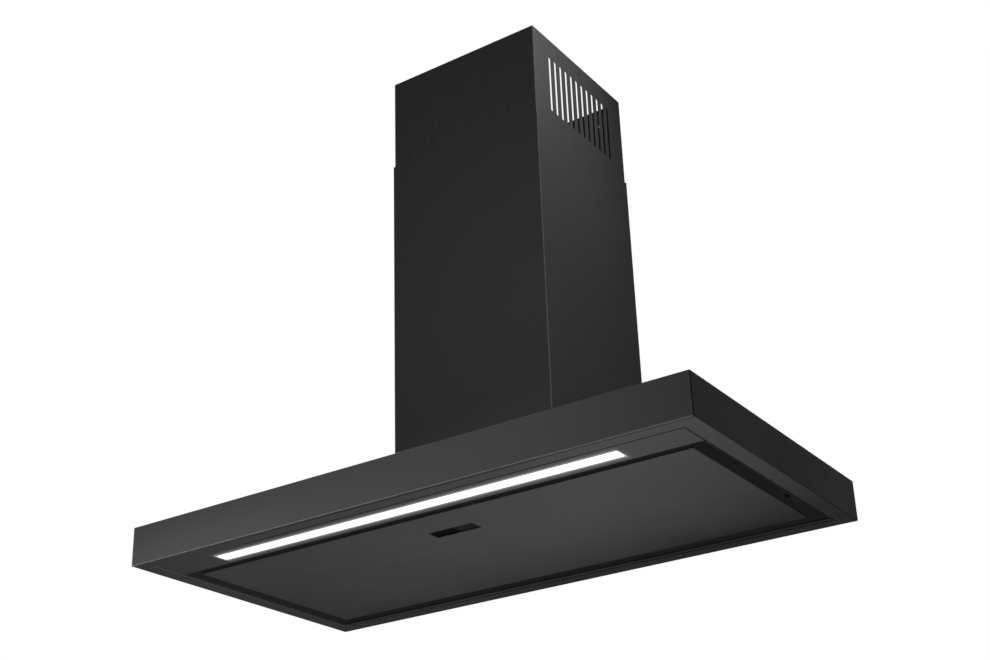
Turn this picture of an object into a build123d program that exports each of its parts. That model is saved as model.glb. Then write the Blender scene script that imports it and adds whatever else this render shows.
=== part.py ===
from build123d import *
from math import cos, radians, sin, sqrt
import os

os.makedirs("parts", exist_ok=True)

# Wall-mounted chimney hood. X runs to the right seen from the front, -Y to the front, +Z up.
# Everything is drawn from the wall plane (y = 0), the centre line (x = 0) and the canopy's
# underside (z = 0), and moved at the end so that the origin is the middle of the wall holes.

# ---- sheet and fits ----
sheet = 1.0                    # folded steel sheet
bend = 1.6                     # radius on the outside of a fold
seam = 0.9                     # gap between two folded edges that meet
touch_gap = 0.3                # gap between a moving piece and the piece it closes on
running_fit = 0.08             # radial clearance of a pin or shaft that turns
insert_fit = 0.15              # clearance round an inserted piece
stem_sides = 8                 # facets round a small screw or stud

# ---- canopy ----
canopy_width = 900.0
canopy_depth = 480.0
canopy_height = 58.0
lip_width = 25.0               # flange folded in under the canopy, all round
lip_upturn = 8.0               # its inner edge, folded up
stiffener_sheet = 1.5
stiffener_margin = 26.0        # stiffener beyond the blower box, left and right
stiffener_fold = 9.0

# ---- inner liner ----
light_strip_depth = 53.0       # liner's front flange, which carries the light
rear_strip_depth = 10.0
tray_height = 33.0             # underside of the liner's tray
standoff_radius = 5.0
liner_screw_radius = 2.0
liner_screw_head = 4.0
liner_screw_head_height = 2.4
liner_screw_length = 12.0
standoff_side_inset = 43.7     # outer standoffs' distance from the liner's side walls
standoff_inner_x = 150.0
standoff_inset = 34.0          # standoffs' distance from the liner's front and rear walls

# ---- suction panel ----
side_gap = 22.0
front_gap = 14.0
rear_gap = 22.0
panel_recess = 0.5
panel_height = 12.0
panel_rim = 14.0               # flange folded in along the panel's top edge
window_width = 73.0
window_depth = 24.0
window_from_front = 59.0       # panel's front edge to the window
rib_width = 48.0
rib_height = 8.0
rib_crown = 20.0
rib_spacing = 100.0

# ---- panel hinge and catches ----
hinge_x = 300.0
hinge_height = 22.0            # pin's axis above the canopy's underside
hinge_inset = 5.0              # pin's axis ahead of the panel's rear edge
hinge_pin_radius = 3.0
hinge_eye_radius = 6.5
hinge_arm_sheet = 2.0
hinge_foot = 30.0
bracket_sheet = 1.5
bracket_wing = 15.0
catch_x = 250.0
catch_width = 20.0
catch_depth = 12.0
magnet_radius = 4.5
magnet_height = 4.0
striker_width = 24.0
striker_sheet = 1.2

# ---- light ----
light_length = 650.0
light_width = 20.0
light_corner = 4.0
light_from_lip = 17.0          # light's front edge behind the lip
diffuser_ledge = 2.5
diffuser_flange = 2.0
profile_wall = 1.5
profile_height = 15.0
profile_foot = 6.0
fin_height = 3.0
fin_spacing = 8.0
board_width = 12.0
board_thickness = 1.2
chip_count = 36
chip_length = 5.0
chip_width = 3.0
chip_height = 0.8
end_cap_thickness = 3.0
stud_radius = 1.5
stud_height = 5.0
stud_spacing = 250.0
nut_width = 5.5
nut_height = 2.4

# ---- control unit behind the window ----
glass_thickness = 2.0
glass_margin = 5.0             # glass beyond the window, each side
control_wall = 3.0
control_ear = 12.0
control_board_height = 5.0     # board above the glass
control_clearance = 7.0        # between the unit's case and the filters
touch_pad_count = 5

# ---- electronics on the liner ----
driver_shorter = 20.0          # light driver's case, shorter than the power module's
driver_width = 42.0
module_width = 100.0
module_height = 19.0
module_ear = 8.0
module_ear_height = 3.0
module_clearance = 4.35        # from an ear's end to the filter, and to the liner's wall
module_groove = 4.0

# ---- grease filters ----
filter_width = 246.0
filter_height = 9.0
filter_drop = 6.0              # filter's underside below the tray's top
filter_gap = 1.0               # gap to the edge of its opening
filter_between = 6.0           # gap between the two filters
filter_rear = 68.0             # filters' rear edge from the wall
filter_wall = 0.8
filter_corner = 3.0
filter_border = 10.0
filter_tab_width = 30.0
filter_tab_reach = 7.0
filter_tab_sheet = 1.0
mesh_pitch = 14.0
mesh_wave = 4.4
mesh_layer = 1.6

# ---- filter handle and latch ----
handle_width = 52.0
handle_depth = 40.0
handle_wall = 4.0
latch_width = 26.0
latch_depth = 14.0
latch_travel = 6.0
latch_bolt_width = 18.0
latch_bolt_height = 1.6
latch_reach = 5.0              # bolt's reach over the tray
latch_grip = 2.5

# ---- blower box and wall hooks ----
box_half_width = 124.0
box_front = 252.0
box_rear = 8.0
box_height = 260.0
box_flange = 15.0
blower_screw_radius = 2.5
blower_screw_head = 4.5
blower_screw_head_height = 3.0
blower_screw_length = 7.0
blower_screw_pitch = 90.0
hook_x = 85.0
hook_width = 40.0
hook_sheet = 2.0
hook_channel = 8.0             # clear width of the hook, front to back
hook_floor = 184.0             # where the box hangs, above the canopy's top
hook_lip = 12.0
hook_height = 60.0
hook_hole_radius = 3.0
hook_hole_low = 24.0           # lower hole above the hook's floor
hook_hole_spacing = 24.0
safety_hole_height = 36.0      # above the canopy's top
safety_hole_radius = 3.0

# ---- scroll housing and impeller ----
impeller_radius = 70.0
impeller_half_width = 60.0
blade_count = 32
blade_depth = 12.0
blade_thickness = 1.4
blade_lean = 26.0              # blade's chord ahead of the wheel's radius, degrees
blade_bulge = 2.2              # depth of the blade's curve
impeller_disc = 3.0
impeller_ring = 3.0
ring_depth = 4.0
hub_radius = 13.0
hub_reach = 14.0
tongue_clearance = 7.0
scroll_growth = 11.6           # growth of the scroll's radius each quarter turn
scroll_wall = 2.0
scroll_side_gap = 6.0
scroll_flange = 10.0
scroll_flange_height = 3.0
tongue_radius = 8.0
inlet_radius = 59.0
inlet_lip = 2.5
impeller_from_wall = 104.0
impeller_above_top = 112.0

# ---- motor ----
shaft_radius = 4.0
motor_radius = 42.0
motor_start = 7.0
motor_end = 74.0
motor_nose = 12.0
bracket_hub_radius = 30.0
motor_arm_width = 14.0
motor_arm_sheet = 2.0
bush_circle = 72.0
bush_radius = 5.5
clip_width = 3.0
clip_radius = 7.0
capacitor_radius = 14.0
capacitor_length = 50.0
capacitor_y = 235.0
capacitor_above_top = 212.0
capacitor_stud = 4.0

# ---- outlet collar and dampers ----
duct_radius = 75.0
collar_wall = 2.0
collar_height = 48.0
collar_flange = 12.0
collar_flange_height = 2.5
collar_screw_radius = 1.75
collar_screw_head = 3.2
collar_screw_head_height = 2.0
collar_screw_grip = 4.0        # screw's length beyond the box's top sheet
collar_screw_angle = 20.0      # from the collar's left-right line
collar_bar_width = 8.0
flap_above_flange = 18.0
flap_thickness = 1.4
flap_edge_gap = 0.6
flap_pin_radius = 1.5
flap_barrel_radius = 2.4
flap_offset = 3.2              # each flap's axis from the collar's middle
flap_ledge = 2.0
flap_rib_spacing = 35.0
flap_rib_length = 50.0
flap_rib_height = 2.0

# ---- terminal box ----
terminal_length = 72.0
terminal_depth = 44.0
terminal_height = 32.0
terminal_wall = 2.0
terminal_corner = 4.0
terminal_left = 114.0          # box's left end from the centre line
terminal_rear = 14.0
lid_thickness = 3.0
lid_lip = 2.0
gland_inset = 13.0             # cable gland's axis from the box's right end
gland_radius = 8.0
cable_radius = 4.0
gland_reach = 16.0
gland_flange = 2.0
block_inset = 10.0             # terminal block from the box's left end
block_length = 40.0
block_depth = 14.0
block_height = 18.0
pole_count = 3
pole_radius = 2.6

# ---- chimney ----
upper_width = 270.0
upper_depth = 270.0            # front of the upper cover from the wall
upper_rear = 2.0               # its rear edge from the wall
upper_length = 400.0
upper_return = 13.0
rim_height = 806.0             # top of the chimney above the canopy's underside
slide_gap = 0.8                # between the two covers
lower_top = 648.0
lower_return = 10.0
cover_tab = 30.0
cover_tab_spacing = 120.0
cover_screw_radius = 2.0
cover_screw_head = 3.5
cover_screw_head_height = 2.0
cover_screw_length = 3.0
slot_count = 12
slot_pitch = 16.0
slot_width = 6.0
slot_length = 100.0
slot_below_rim = 34.0
side_hole_radius = 2.0
side_hole_below_rim = 16.0
wall_plate_height = 150.0
wall_plate_sheet = 1.2
wall_arm_height = 24.0
wall_arm_below_rim = 4.0
wall_arm_reach = 150.0
wall_boss_radius = 9.0
wall_hole_radius = 3.0
wall_hole_spacing_x = 190.0
wall_hole_spacing_z = 90.0
wall_hole_below_rim = 30.0


# ---- drawing helpers ----

def block(x0, x1, y0, y1, z0, z1):
    """Block between two corners."""
    middle = Pos((x0 + x1) / 2, (y0 + y1) / 2, (z0 + z1) / 2)
    return middle * Box(abs(x1 - x0), abs(y1 - y0), abs(z1 - z0))


def rod(radius, length, start, direction):
    """Cylinder that starts at a point and runs along a direction."""
    base = Plane(origin=start, z_dir=direction)
    return extrude(base * Circle(radius), length)


def stem(radius, length, start, direction):
    """Faceted rod, for small screws and studs and the holes they fill."""
    base = Plane(origin=start, z_dir=direction)
    return extrude(base * RegularPolygon(radius, stem_sides), length)


def folded(points, thickness, side, radius=bend):
    """Section of a sheet folded along a line of points."""
    line = FilletPolyline(*points, radius=radius)
    outline = offset(line, amount=thickness, side=side, closed=True)
    return make_face(outline.edges())


def along_x(face, x0, x1):
    """Section drawn in (y, z), run from x0 to x1."""
    return extrude(Plane.YZ.offset(x0) * face, x1 - x0)


def along_y(face, y0, y1):
    """Section drawn in (x, z), run from y0 towards the front to y1."""
    return extrude(Plane.XZ.offset(-y0) * face, y0 - y1)


def along_z(face, z0, z1):
    """Section drawn in (x, y), run from z0 up to z1."""
    return extrude(Plane.XY.offset(z0) * face, z1 - z0)


def mirrored(shape):
    """The same piece on the other side of the centre line."""
    return mirror(shape, about=Plane.YZ)


def pan(x0, x1, y0, y1, z0, z1, thickness, radius, rims, open_side):
    """Folded sheet box, its edges rounded or sharp, open above or below inside its rim."""
    outer = block(x0, x1, y0, y1, z0, z1)
    if radius:
        outer = fillet(outer.edges(), radius)
    low = z0 + thickness
    high = z1 - thickness
    inner = block(x0 + thickness, x1 - thickness, y0 + thickness, y1 - thickness, low, high)
    z_open = (z0 - 1, low + radius) if open_side == "below" else (high - radius, z1 + 1)
    mouth = block(x0 + rims, x1 - rims, y0 + rims, y1 - rims, z_open[0], z_open[1])
    return outer - inner - mouth


pieces = {}


def keep(name, *solids):
    """Name a piece, or a group of identical ones."""
    pieces[name] = [solid for shape in solids for solid in shape.solids()]


# ---- places that several pieces share ----

half_width = canopy_width / 2
canopy_top = canopy_height
ceiling = canopy_top - sheet                       # underside of the canopy's top
mouth_half = half_width - lip_width                # canopy's opening, left and right
mouth_front = -(canopy_depth - lip_width)
mouth_rear = -lip_width

liner_half = mouth_half - seam
liner_front = mouth_front + seam
liner_rear = mouth_rear - seam
gap_front = mouth_front + light_strip_depth        # liner's front wall
gap_rear = mouth_rear - rear_strip_depth           # liner's rear wall
gap_half = liner_half - sheet                      # liner's side walls
tray_top = tray_height + sheet

panel_half = gap_half - side_gap
panel_front = gap_front + front_gap
panel_rear = gap_rear - rear_gap
panel_skin_top = panel_recess + sheet
panel_top = panel_recess + panel_height
window_front = panel_front + window_from_front
window_rear = window_front + window_depth

hinge_y = panel_rear - hinge_inset

light_front = mouth_front + light_from_lip
light_rear = light_front + light_width
light_middle = (light_front + light_rear) / 2

box_floor = canopy_top
box_top = box_floor + box_height
box_y_front = -box_front
box_y_rear = -box_rear
opening_half = box_half_width - sheet - box_flange
opening_front = box_y_front + sheet + box_flange
opening_rear = box_y_rear - sheet - box_flange
blower_screw_x = opening_half + box_flange / 2
blower_screw_ys = [(box_y_front + box_y_rear) / 2 + step * blower_screw_pitch for step in (-1, 0, 1)]

glass_half = window_width / 2 + glass_margin
glass_front = window_front - glass_margin
glass_rear = window_rear + glass_margin

filter_rear_y = -filter_rear
filter_front_y = glass_rear + control_wall + control_clearance
filter_spacing = filter_width + filter_between
filter_side = filter_spacing / 2 + filter_width / 2
filter_floor = tray_top - filter_drop - sheet
filter_top = filter_floor + filter_height
module_length = gap_half - filter_side - 2 * (module_ear + module_clearance)
driver_length = module_length - driver_shorter
standoff_side_x = gap_half - standoff_side_inset

fan_y = -impeller_from_wall
fan_z = canopy_top + impeller_above_top
box_ceiling = box_top - sheet

standoffs = [(sign * x, y)
             for x in (standoff_side_x, standoff_inner_x)
             for y in (gap_front + standoff_inset, gap_rear - standoff_inset)
             for sign in (-1, 1)
             if x == standoff_side_x or y < filter_front_y]


# ---- canopy ----

def canopy_shell():
    """Folded box with a lip all round underneath, its inner edge turned up."""
    shell = pan(-half_width, half_width, -canopy_depth, 0, 0, canopy_height,
                sheet, bend, lip_width, "below")
    upturn = block(-mouth_half - sheet, mouth_half + sheet, mouth_front - sheet,
                   mouth_rear + sheet, 0, lip_upturn)
    upturn -= block(-mouth_half, mouth_half, mouth_front, mouth_rear, -1, lip_upturn + 1)
    shell += upturn
    shell -= block(-opening_half, opening_half, opening_front, opening_rear,
                   ceiling - 1, canopy_top + 1)
    return shell - blower_screw_holes() - cover_screw_holes()


def blower_screw_holes():
    """Clearance holes for the screws that hold the blower box."""
    return [stem(blower_screw_radius, 20, (sign * blower_screw_x, y, canopy_top - 10), (0, 0, 1))
            for sign in (-1, 1) for y in blower_screw_ys]


def cover_screw_places():
    """Where the lower cover is screwed to the canopy."""
    x = lower_inner_half - lower_return / 2
    middle = -upper_depth / 2
    return [(sign * x, middle + step * cover_tab_spacing / 2) for sign in (-1, 1) for step in (-1, 1)]


def cover_screw_holes():
    """Pilot holes in the canopy's top for the cover's screws."""
    return [stem(cover_screw_radius, 10, (x, y, canopy_top - 5), (0, 0, 1))
            for x, y in cover_screw_places()]


def canopy_stiffener():
    """Plate under the canopy's top that spreads the blower's weight."""
    half = box_half_width + stiffener_margin
    edge = [(-half, ceiling - stiffener_fold), (-half, ceiling), (half, ceiling),
            (half, ceiling - stiffener_fold)]
    plate = along_y(folded(edge, stiffener_sheet, Side.RIGHT, 2.5), -box_rear, -box_front)
    plate -= block(-opening_half, opening_half, opening_front, opening_rear, 0, canopy_top)
    return plate - blower_screw_holes() - cover_screw_holes()


# ---- liner ----

def inner_liner():
    """Tray with walls that come down to the canopy's lip, front and rear flanges flush with it."""
    outline = [(liner_front, lip_upturn), (liner_front, 0), (gap_front, 0),
               (gap_front, tray_height), (gap_rear, tray_height), (gap_rear, 0),
               (liner_rear, 0), (liner_rear, lip_upturn)]
    liner = along_x(folded(outline, sheet, Side.LEFT), -liner_half, liner_half)
    for sign in (-1, 1):
        liner += block(sign * gap_half, sign * liner_half, gap_front, gap_rear, 0, tray_top)
    slot = RectangleRounded(light_length, light_width, light_corner)
    liner -= along_z(Pos(0, light_middle) * slot, -1, sheet + 1)
    for sign in (-1, 1):
        middle = sign * filter_spacing / 2
        reach = filter_width / 2 + filter_gap
        liner -= block(middle - reach, middle + reach, filter_front_y - filter_gap,
                       filter_rear_y + filter_gap, tray_height - 1, tray_top + 1)
    for x, y in standoffs:
        liner -= stem(liner_screw_radius, 10, (x, y, tray_height - 5), (0, 0, 1))
    for x, y in stud_places():
        liner += stem(stud_radius, stud_height + 0.2, (x, y, sheet - 0.2), (0, 0, 1))
    return liner


def stud_places():
    """Welded studs that hold the light's profile."""
    reach = light_width / 2 + diffuser_ledge + profile_wall + profile_foot / 2
    return [(step * stud_spacing, light_middle + sign * reach)
            for step in (-1, 0, 1) for sign in (-1, 1)]


def liner_standoffs():
    """Hexagonal spacers between the tray and the canopy's top."""
    tubes = []
    length = ceiling - tray_top
    for x, y in standoffs:
        hexagon = Pos(x, y) * RegularPolygon(standoff_radius, 6)
        tube = along_z(hexagon, tray_top, ceiling)
        tubes.append(tube - stem(liner_screw_radius, length + 2, (x, y, tray_top - 1), (0, 0, 1)))
    return tubes


def screw(radius, head_radius, head_height, length, x, y, z, up):
    """Pan-head screw: its head's seat at z, its shank running up or down."""
    shank = stem(radius, length, (x, y, z), (0, 0, up))
    head = stem(head_radius, head_height, (x, y, z), (0, 0, -up))
    return shank + head


# ---- light ----

def led_diffuser():
    """Opal strip, flush in the liner's slot, with a ledge that rests on the sheet."""
    half = light_length / 2 - insert_fit
    strip = RectangleRounded(2 * half, light_width - 2 * insert_fit, light_corner - insert_fit)
    strip = along_z(Pos(0, light_middle) * strip, 0, sheet)
    ledge = block(-half - diffuser_ledge, half + diffuser_ledge, light_front - diffuser_ledge,
                  light_rear + diffuser_ledge, sheet, sheet + diffuser_flange)
    return strip + ledge


def profile_half_length():
    """Half length of the light's profile."""
    return light_length / 2 + diffuser_ledge + insert_fit


def led_profile():
    """Extruded channel over the diffuser, with feet, cooling fins and a seat for the board."""
    inner = light_width / 2 + diffuser_ledge + insert_fit
    outer = inner + profile_wall
    foot = outer + profile_foot
    base = sheet
    top = base + profile_height
    right = [(inner, base), (foot, base), (foot, base + profile_wall),
             (outer, base + profile_wall), (outer, top)]
    left = [(-y, z) for y, z in reversed(right)]
    roof = [(-inner, top - profile_wall), (inner, top - profile_wall)]
    section = make_face(Polyline(*right, *left, *roof, close=True))
    for step in (-1, 0, 1):
        fin = Pos(step * fin_spacing, top + fin_height / 2) * Rectangle(profile_wall, fin_height)
        section += fin
    half = profile_half_length()
    profile = along_x(Pos(light_middle, 0) * section, -half, half)
    for x, y in stud_places():
        profile -= stem(stud_radius, 10, (x, y, 0), (0, 0, 1))
    return profile


def board_top():
    """Where the light's board meets the channel's roof."""
    return sheet + profile_height - profile_wall


def led_board():
    """Strip of circuit board on the channel's roof."""
    half = light_length / 2
    return block(-half, half, light_middle - board_width / 2, light_middle + board_width / 2,
                 board_top() - board_thickness, board_top())


def led_chips():
    """Row of light chips under the board."""
    pitch = light_length / chip_count
    top = board_top() - board_thickness
    first = -light_length / 2 + pitch / 2
    return [block(first + n * pitch - chip_length / 2, first + n * pitch + chip_length / 2,
                  light_middle - chip_width / 2, light_middle + chip_width / 2,
                  top - chip_height, top) for n in range(chip_count)]


def led_end_cap():
    """Moulded cap on the right end of the channel."""
    outer = light_width / 2 + diffuser_ledge + insert_fit + profile_wall
    face = Pos(light_middle, sheet + profile_height / 2) * RectangleRounded(
        2 * outer, profile_height, profile_wall)
    start = profile_half_length()
    return along_x(face, start, start + end_cap_thickness)


def profile_nuts():
    """Nuts on the welded studs."""
    nuts = []
    for x, y in stud_places():
        seat = Plane.XY.offset(sheet + profile_wall)
        hexagon = RegularPolygon(nut_width / 2, 6, major_radius=False)
        nut = extrude(seat * Pos(x, y) * hexagon, nut_height)
        nuts.append(nut - stem(stud_radius, 10, (x, y, 0), (0, 0, 1)))
    return nuts


# ---- control unit ----

control_floor = panel_skin_top + 2 * touch_gap
glass_top = control_floor + glass_thickness


def display_glass():
    """Dark glass just above the panel's window."""
    pane = block(-glass_half, glass_half, glass_front, glass_rear, control_floor, glass_top)
    return fillet(pane.edges().filter_by(Axis.Z), 1.5)


def control_housing():
    """Moulded case that hangs from the tray, open below for the glass, with two ears."""
    wall = control_wall
    case = block(-glass_half - wall, glass_half + wall, glass_front - wall, glass_rear + wall,
                 control_floor, tray_height)
    case = fillet(case.edges().filter_by(Axis.Z), 2.5)
    ear = block(-glass_half - wall - control_ear, glass_half + wall + control_ear,
                window_front, window_rear, tray_height - wall, tray_height)
    case += fillet(ear.edges().filter_by(Axis.Z), 4)
    case -= block(-glass_half - insert_fit, glass_half + insert_fit, glass_front - insert_fit,
                  glass_rear + insert_fit, control_floor - 1, glass_top)
    board_seat = glass_top + control_board_height
    case -= block(-glass_half + wall, glass_half - wall, window_front, window_rear,
                  glass_top - 1, board_seat + 1)
    return case - block(-glass_half, glass_half, glass_front, glass_rear,
                        board_seat, tray_height - wall)


def control_board():
    """Circuit board with a row of touch pads, on the case's ledge."""
    seat = glass_top + control_board_height
    board = block(-glass_half + insert_fit, glass_half - insert_fit, glass_front + insert_fit,
                  glass_rear - insert_fit, seat, seat + board_thickness)
    pitch = window_width / touch_pad_count
    for n in range(touch_pad_count):
        x = (n - (touch_pad_count - 1) / 2) * pitch
        board += block(x - pitch / 4, x + pitch / 4, window_front + 5, window_rear - 5,
                       seat - 2, seat)
    return board


module_x = (gap_half + filter_side) / 2


def module_case(length, width, sign):
    """Moulded electronics case with two ears and a ribbed top, on the tray beside a filter."""
    x = sign * module_x
    y = filter_front_y + width / 2
    case = block(x - length / 2, x + length / 2, y - width / 2, y + width / 2,
                 tray_top, tray_top + module_height)
    case = fillet(case.edges().filter_by(Axis.Z), 3)
    case = chamfer(case.faces().sort_by(Axis.Z)[-1].edges(), 1.5)
    case += block(x - length / 2 - module_ear, x + length / 2 + module_ear,
                  y - module_ear, y + module_ear, tray_top, tray_top + module_ear_height)
    for n in range(-2, 3):
        groove = x + n * length / 7
        case -= block(groove - module_groove / 2, groove + module_groove / 2,
                      y - width / 3, y + width / 3,
                      tray_top + module_height - 1, tray_top + module_height + 1)
    return case


# ---- suction panel ----

def suction_panel():
    """Pan whose edges fold up and in, with a window over the display."""
    panel = pan(-panel_half, panel_half, panel_front, panel_rear, panel_recess, panel_top,
                sheet, bend, panel_rim, "above")
    cut = block(-window_width / 2, window_width / 2, window_front, window_rear,
                panel_recess - 1, panel_skin_top + 1)
    return panel - cut


def panel_rib(y):
    """Hat-section stiffener along the panel."""
    brim = (rib_width - rib_crown) / 2
    z = panel_skin_top
    outline = [(y - rib_width / 2, z), (y - rib_width / 2 + brim - 3, z),
               (y - rib_crown / 2, z + rib_height), (y + rib_crown / 2, z + rib_height),
               (y + rib_width / 2 - brim + 3, z), (y + rib_width / 2, z)]
    reach = panel_half - sheet - 2
    return along_x(folded(outline, sheet, Side.LEFT, 1.5), -reach, reach)


def panel_ribs():
    """Two stiffeners behind the window."""
    middle = (window_rear + panel_rear) / 2
    return [panel_rib(middle + sign * rib_spacing / 2) for sign in (-1, 1)]


def hinge_arm():
    """Right arm: a foot on the panel's rim and an ear round the pin."""
    rim_front = panel_rear - panel_rim
    foot = block(hinge_x, hinge_x + hinge_foot, rim_front, panel_rear, panel_top,
                 panel_top + hinge_arm_sheet)
    foot_line = Line((rim_front, panel_top), (panel_rear, panel_top))
    eye = Pos(hinge_y, hinge_height) * Circle(hinge_eye_radius)
    ear = make_hull(ShapeList([foot_line.edge()]) + eye.edges())
    arm = foot + along_x(ear, hinge_x, hinge_x + hinge_arm_sheet)
    hole = hinge_pin_radius + running_fit
    return arm - rod(hole, hinge_arm_sheet + 2, (hinge_x - 1, hinge_y, hinge_height), (1, 0, 0))


def hinge_bracket_pair():
    """Right hinge's two angle brackets under the tray, one each side of the arm."""
    eye = Pos(hinge_y, hinge_height) * Circle(hinge_eye_radius)
    stem = (hinge_height + tray_height) / 2
    ear = eye + Pos(hinge_y, stem) * Rectangle(2 * hinge_eye_radius, tray_height - hinge_height)
    inner = hinge_x - touch_gap
    outline = [(inner - bracket_wing, tray_height), (inner, tray_height),
               (inner, hinge_height - 2 * hinge_eye_radius)]
    angle = along_y(folded(outline, bracket_sheet, Side.RIGHT, 2.0),
                    hinge_y + hinge_eye_radius, hinge_y - hinge_eye_radius)
    angle &= along_x(ear, inner - bracket_wing - 1, inner + 1)
    start = (inner - bracket_sheet - 1, hinge_y, hinge_height)
    angle -= rod(hinge_pin_radius, bracket_sheet + 2, start, (1, 0, 0))
    middle = hinge_x + hinge_arm_sheet / 2
    return [angle, mirror(angle, about=Plane.YZ.offset(middle))]


def hinge_pin():
    """Right hinge's headed pin."""
    left = hinge_x - touch_gap - bracket_sheet
    right = hinge_x + hinge_arm_sheet + touch_gap + bracket_sheet
    pin = rod(hinge_pin_radius, right - left, (left, hinge_y, hinge_height), (1, 0, 0))
    for start, direction in ((left, -1), (right, 1)):
        pin += stem(hinge_pin_radius + 1.5, 1.5, (start, hinge_y, hinge_height), (direction, 0, 0))
    return pin


catch_y = panel_front + panel_rim / 2
striker_top = panel_top + striker_sheet
catch_floor = striker_top + touch_gap


def magnet_catch():
    """Right catch: a moulded post under the tray with a magnet in its foot."""
    post = block(catch_x - catch_width / 2, catch_x + catch_width / 2, catch_y - catch_depth / 2,
                 catch_y + catch_depth / 2, catch_floor, tray_height)
    post = chamfer(post.edges().filter_by(Axis.Z), 2)
    return post - rod(magnet_radius, magnet_height + 1, (catch_x, catch_y, catch_floor - 1),
                      (0, 0, 1))


def catch_magnet():
    """Right catch's magnet."""
    return rod(magnet_radius, magnet_height, (catch_x, catch_y, catch_floor), (0, 0, 1))


def striker_plate():
    """Right catch's steel plate on the panel's rim."""
    plate = block(catch_x - striker_width / 2, catch_x + striker_width / 2,
                  catch_y - catch_depth / 2, catch_y + catch_depth / 2, panel_top, striker_top)
    return chamfer(plate.edges().filter_by(Axis.Z), 2)


# ---- grease filters, drawn about x = 0 and set left and right ----

handle_front = filter_front_y + filter_wall
handle_rear = handle_front + handle_depth
pocket_front = handle_front + handle_wall
pocket_rear = handle_rear - handle_wall
bolt_floor = tray_top + touch_gap
bolt_top = bolt_floor + latch_bolt_height
slot_gap = touch_gap


def filter_frame():
    """Folded aluminium frame, open inside its border, with two tabs behind."""
    half = filter_width / 2
    frame = block(-half, half, filter_front_y, filter_rear_y, filter_floor, filter_top)
    frame = fillet(frame.edges().filter_by(Axis.Z), filter_corner)
    wall = filter_wall
    frame -= block(-half + wall, half - wall, filter_front_y + wall, filter_rear_y - wall,
                   filter_floor + wall, filter_top - wall)
    frame -= block(-half + filter_border, half - filter_border, filter_front_y + filter_border,
                   filter_rear_y - filter_border, filter_floor - 1, filter_top + 1)
    for sign in (-1, 1):
        middle = sign * filter_width / 4
        frame += block(middle - filter_tab_width / 2, middle + filter_tab_width / 2,
                       filter_rear_y - wall, filter_rear_y + filter_tab_reach,
                       tray_top, tray_top + filter_tab_sheet)
    reach = handle_width / 2
    frame -= block(-reach, reach, handle_front, handle_rear, filter_floor - 1, filter_top + 1)
    slot = latch_bolt_width / 2 + slot_gap
    return frame - block(-slot, slot, filter_front_y - 1, handle_front + 1,
                         bolt_floor - slot_gap, filter_top + 1)


def filter_mesh():
    """Pack of crimped mesh inside the frame, notched round the handle."""
    wall = filter_wall
    half = filter_width / 2 - wall
    middle = (filter_floor + filter_top) / 2
    low = middle - mesh_wave / 2
    count = int(2 * half / mesh_pitch)
    start = -count * mesh_pitch / 2
    crests = [(start + (n + 0.5) * mesh_pitch / 2, low + mesh_wave * (n % 2))
              for n in range(2 * count)]
    line = Polyline(*crests)
    section = make_face(offset(line, amount=mesh_layer, side=Side.LEFT, closed=True).edges())
    pack = along_y(Pos(0, -mesh_layer / 2) * section, filter_rear_y - wall, filter_front_y + wall)
    border = filter_border - wall
    for sign in (-1, 1):
        edge = sign * half
        pack += block(edge - sign * border, edge, filter_front_y + wall, filter_rear_y - wall,
                      filter_floor + wall, filter_top - wall)
    reach = handle_width / 2
    return pack - block(-reach, reach, filter_front_y, handle_rear,
                        filter_floor - 1, filter_top + 1)


def filter_handle():
    """Moulded cup with a pocket for the latch."""
    half = handle_width / 2
    cup = block(-half, half, handle_front, handle_rear, filter_floor, filter_top)
    cup = fillet(cup.edges().filter_by(Axis.Z), 2.5)
    slot = latch_width / 2 + slot_gap
    cup -= block(-slot, slot, pocket_front, pocket_rear, filter_floor + 1.5, filter_top + 1)
    finger = latch_width / 2 - 3
    cup -= block(-finger, finger, pocket_front + 2, pocket_front + 2 + latch_depth + latch_travel,
                 filter_floor - 1, filter_floor + 2)
    bolt = latch_bolt_width / 2 + slot_gap
    return cup - block(-bolt, bolt, handle_front - 1, pocket_front + 1,
                       bolt_floor - slot_gap, filter_top + 1)


def filter_latch():
    """Sliding latch: a body in the pocket, a bolt over the tray and a ribbed finger grip."""
    rest = pocket_front + touch_gap
    half = latch_width / 2
    body = block(-half, half, rest, rest + latch_depth, filter_floor + 1.5 + touch_gap, bolt_top)
    bolt = latch_bolt_width / 2
    body += block(-bolt, bolt, filter_front_y - latch_reach, rest + 1, bolt_floor, bolt_top)
    grip = half - 3 - slot_gap - 1
    low = filter_floor - latch_grip + 2.5
    start = pocket_front + 2 + touch_gap
    body += block(-grip, grip, start, start + latch_depth - 4, low, filter_floor + 3)
    for n in range(3):
        ridge = start + 1.5 + n * 3
        body += block(-grip, grip, ridge, ridge + 1.2, low - 0.8, low)
    return body


# ---- blower box and hooks ----

hook_seat = canopy_top + hook_floor                # top of the hook's floor
hook_base = hook_seat - hook_sheet
hole_low_z = hook_seat + hook_hole_low
hole_high_z = hole_low_z + hook_hole_spacing
hang_height = (hole_low_z + hole_high_z) / 2       # origin above the canopy's underside


def mouth_edges():
    """Front and rear of the scroll's mouth."""
    corner_y, corner_z, first = scroll_centre()
    front = corner_y - first - 3 * scroll_growth
    return front, corner_y - tongue_radius


def scroll_centre():
    """First centre of the scroll's arcs and their first radius."""
    first = impeller_radius + tongue_clearance + scroll_growth / 2
    return fan_y + scroll_growth / 2, fan_z - scroll_growth / 2, first


def collar_middle():
    """The collar stands over the middle of the scroll's mouth."""
    front, rear = mouth_edges()
    return (front + rear) / 2


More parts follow.
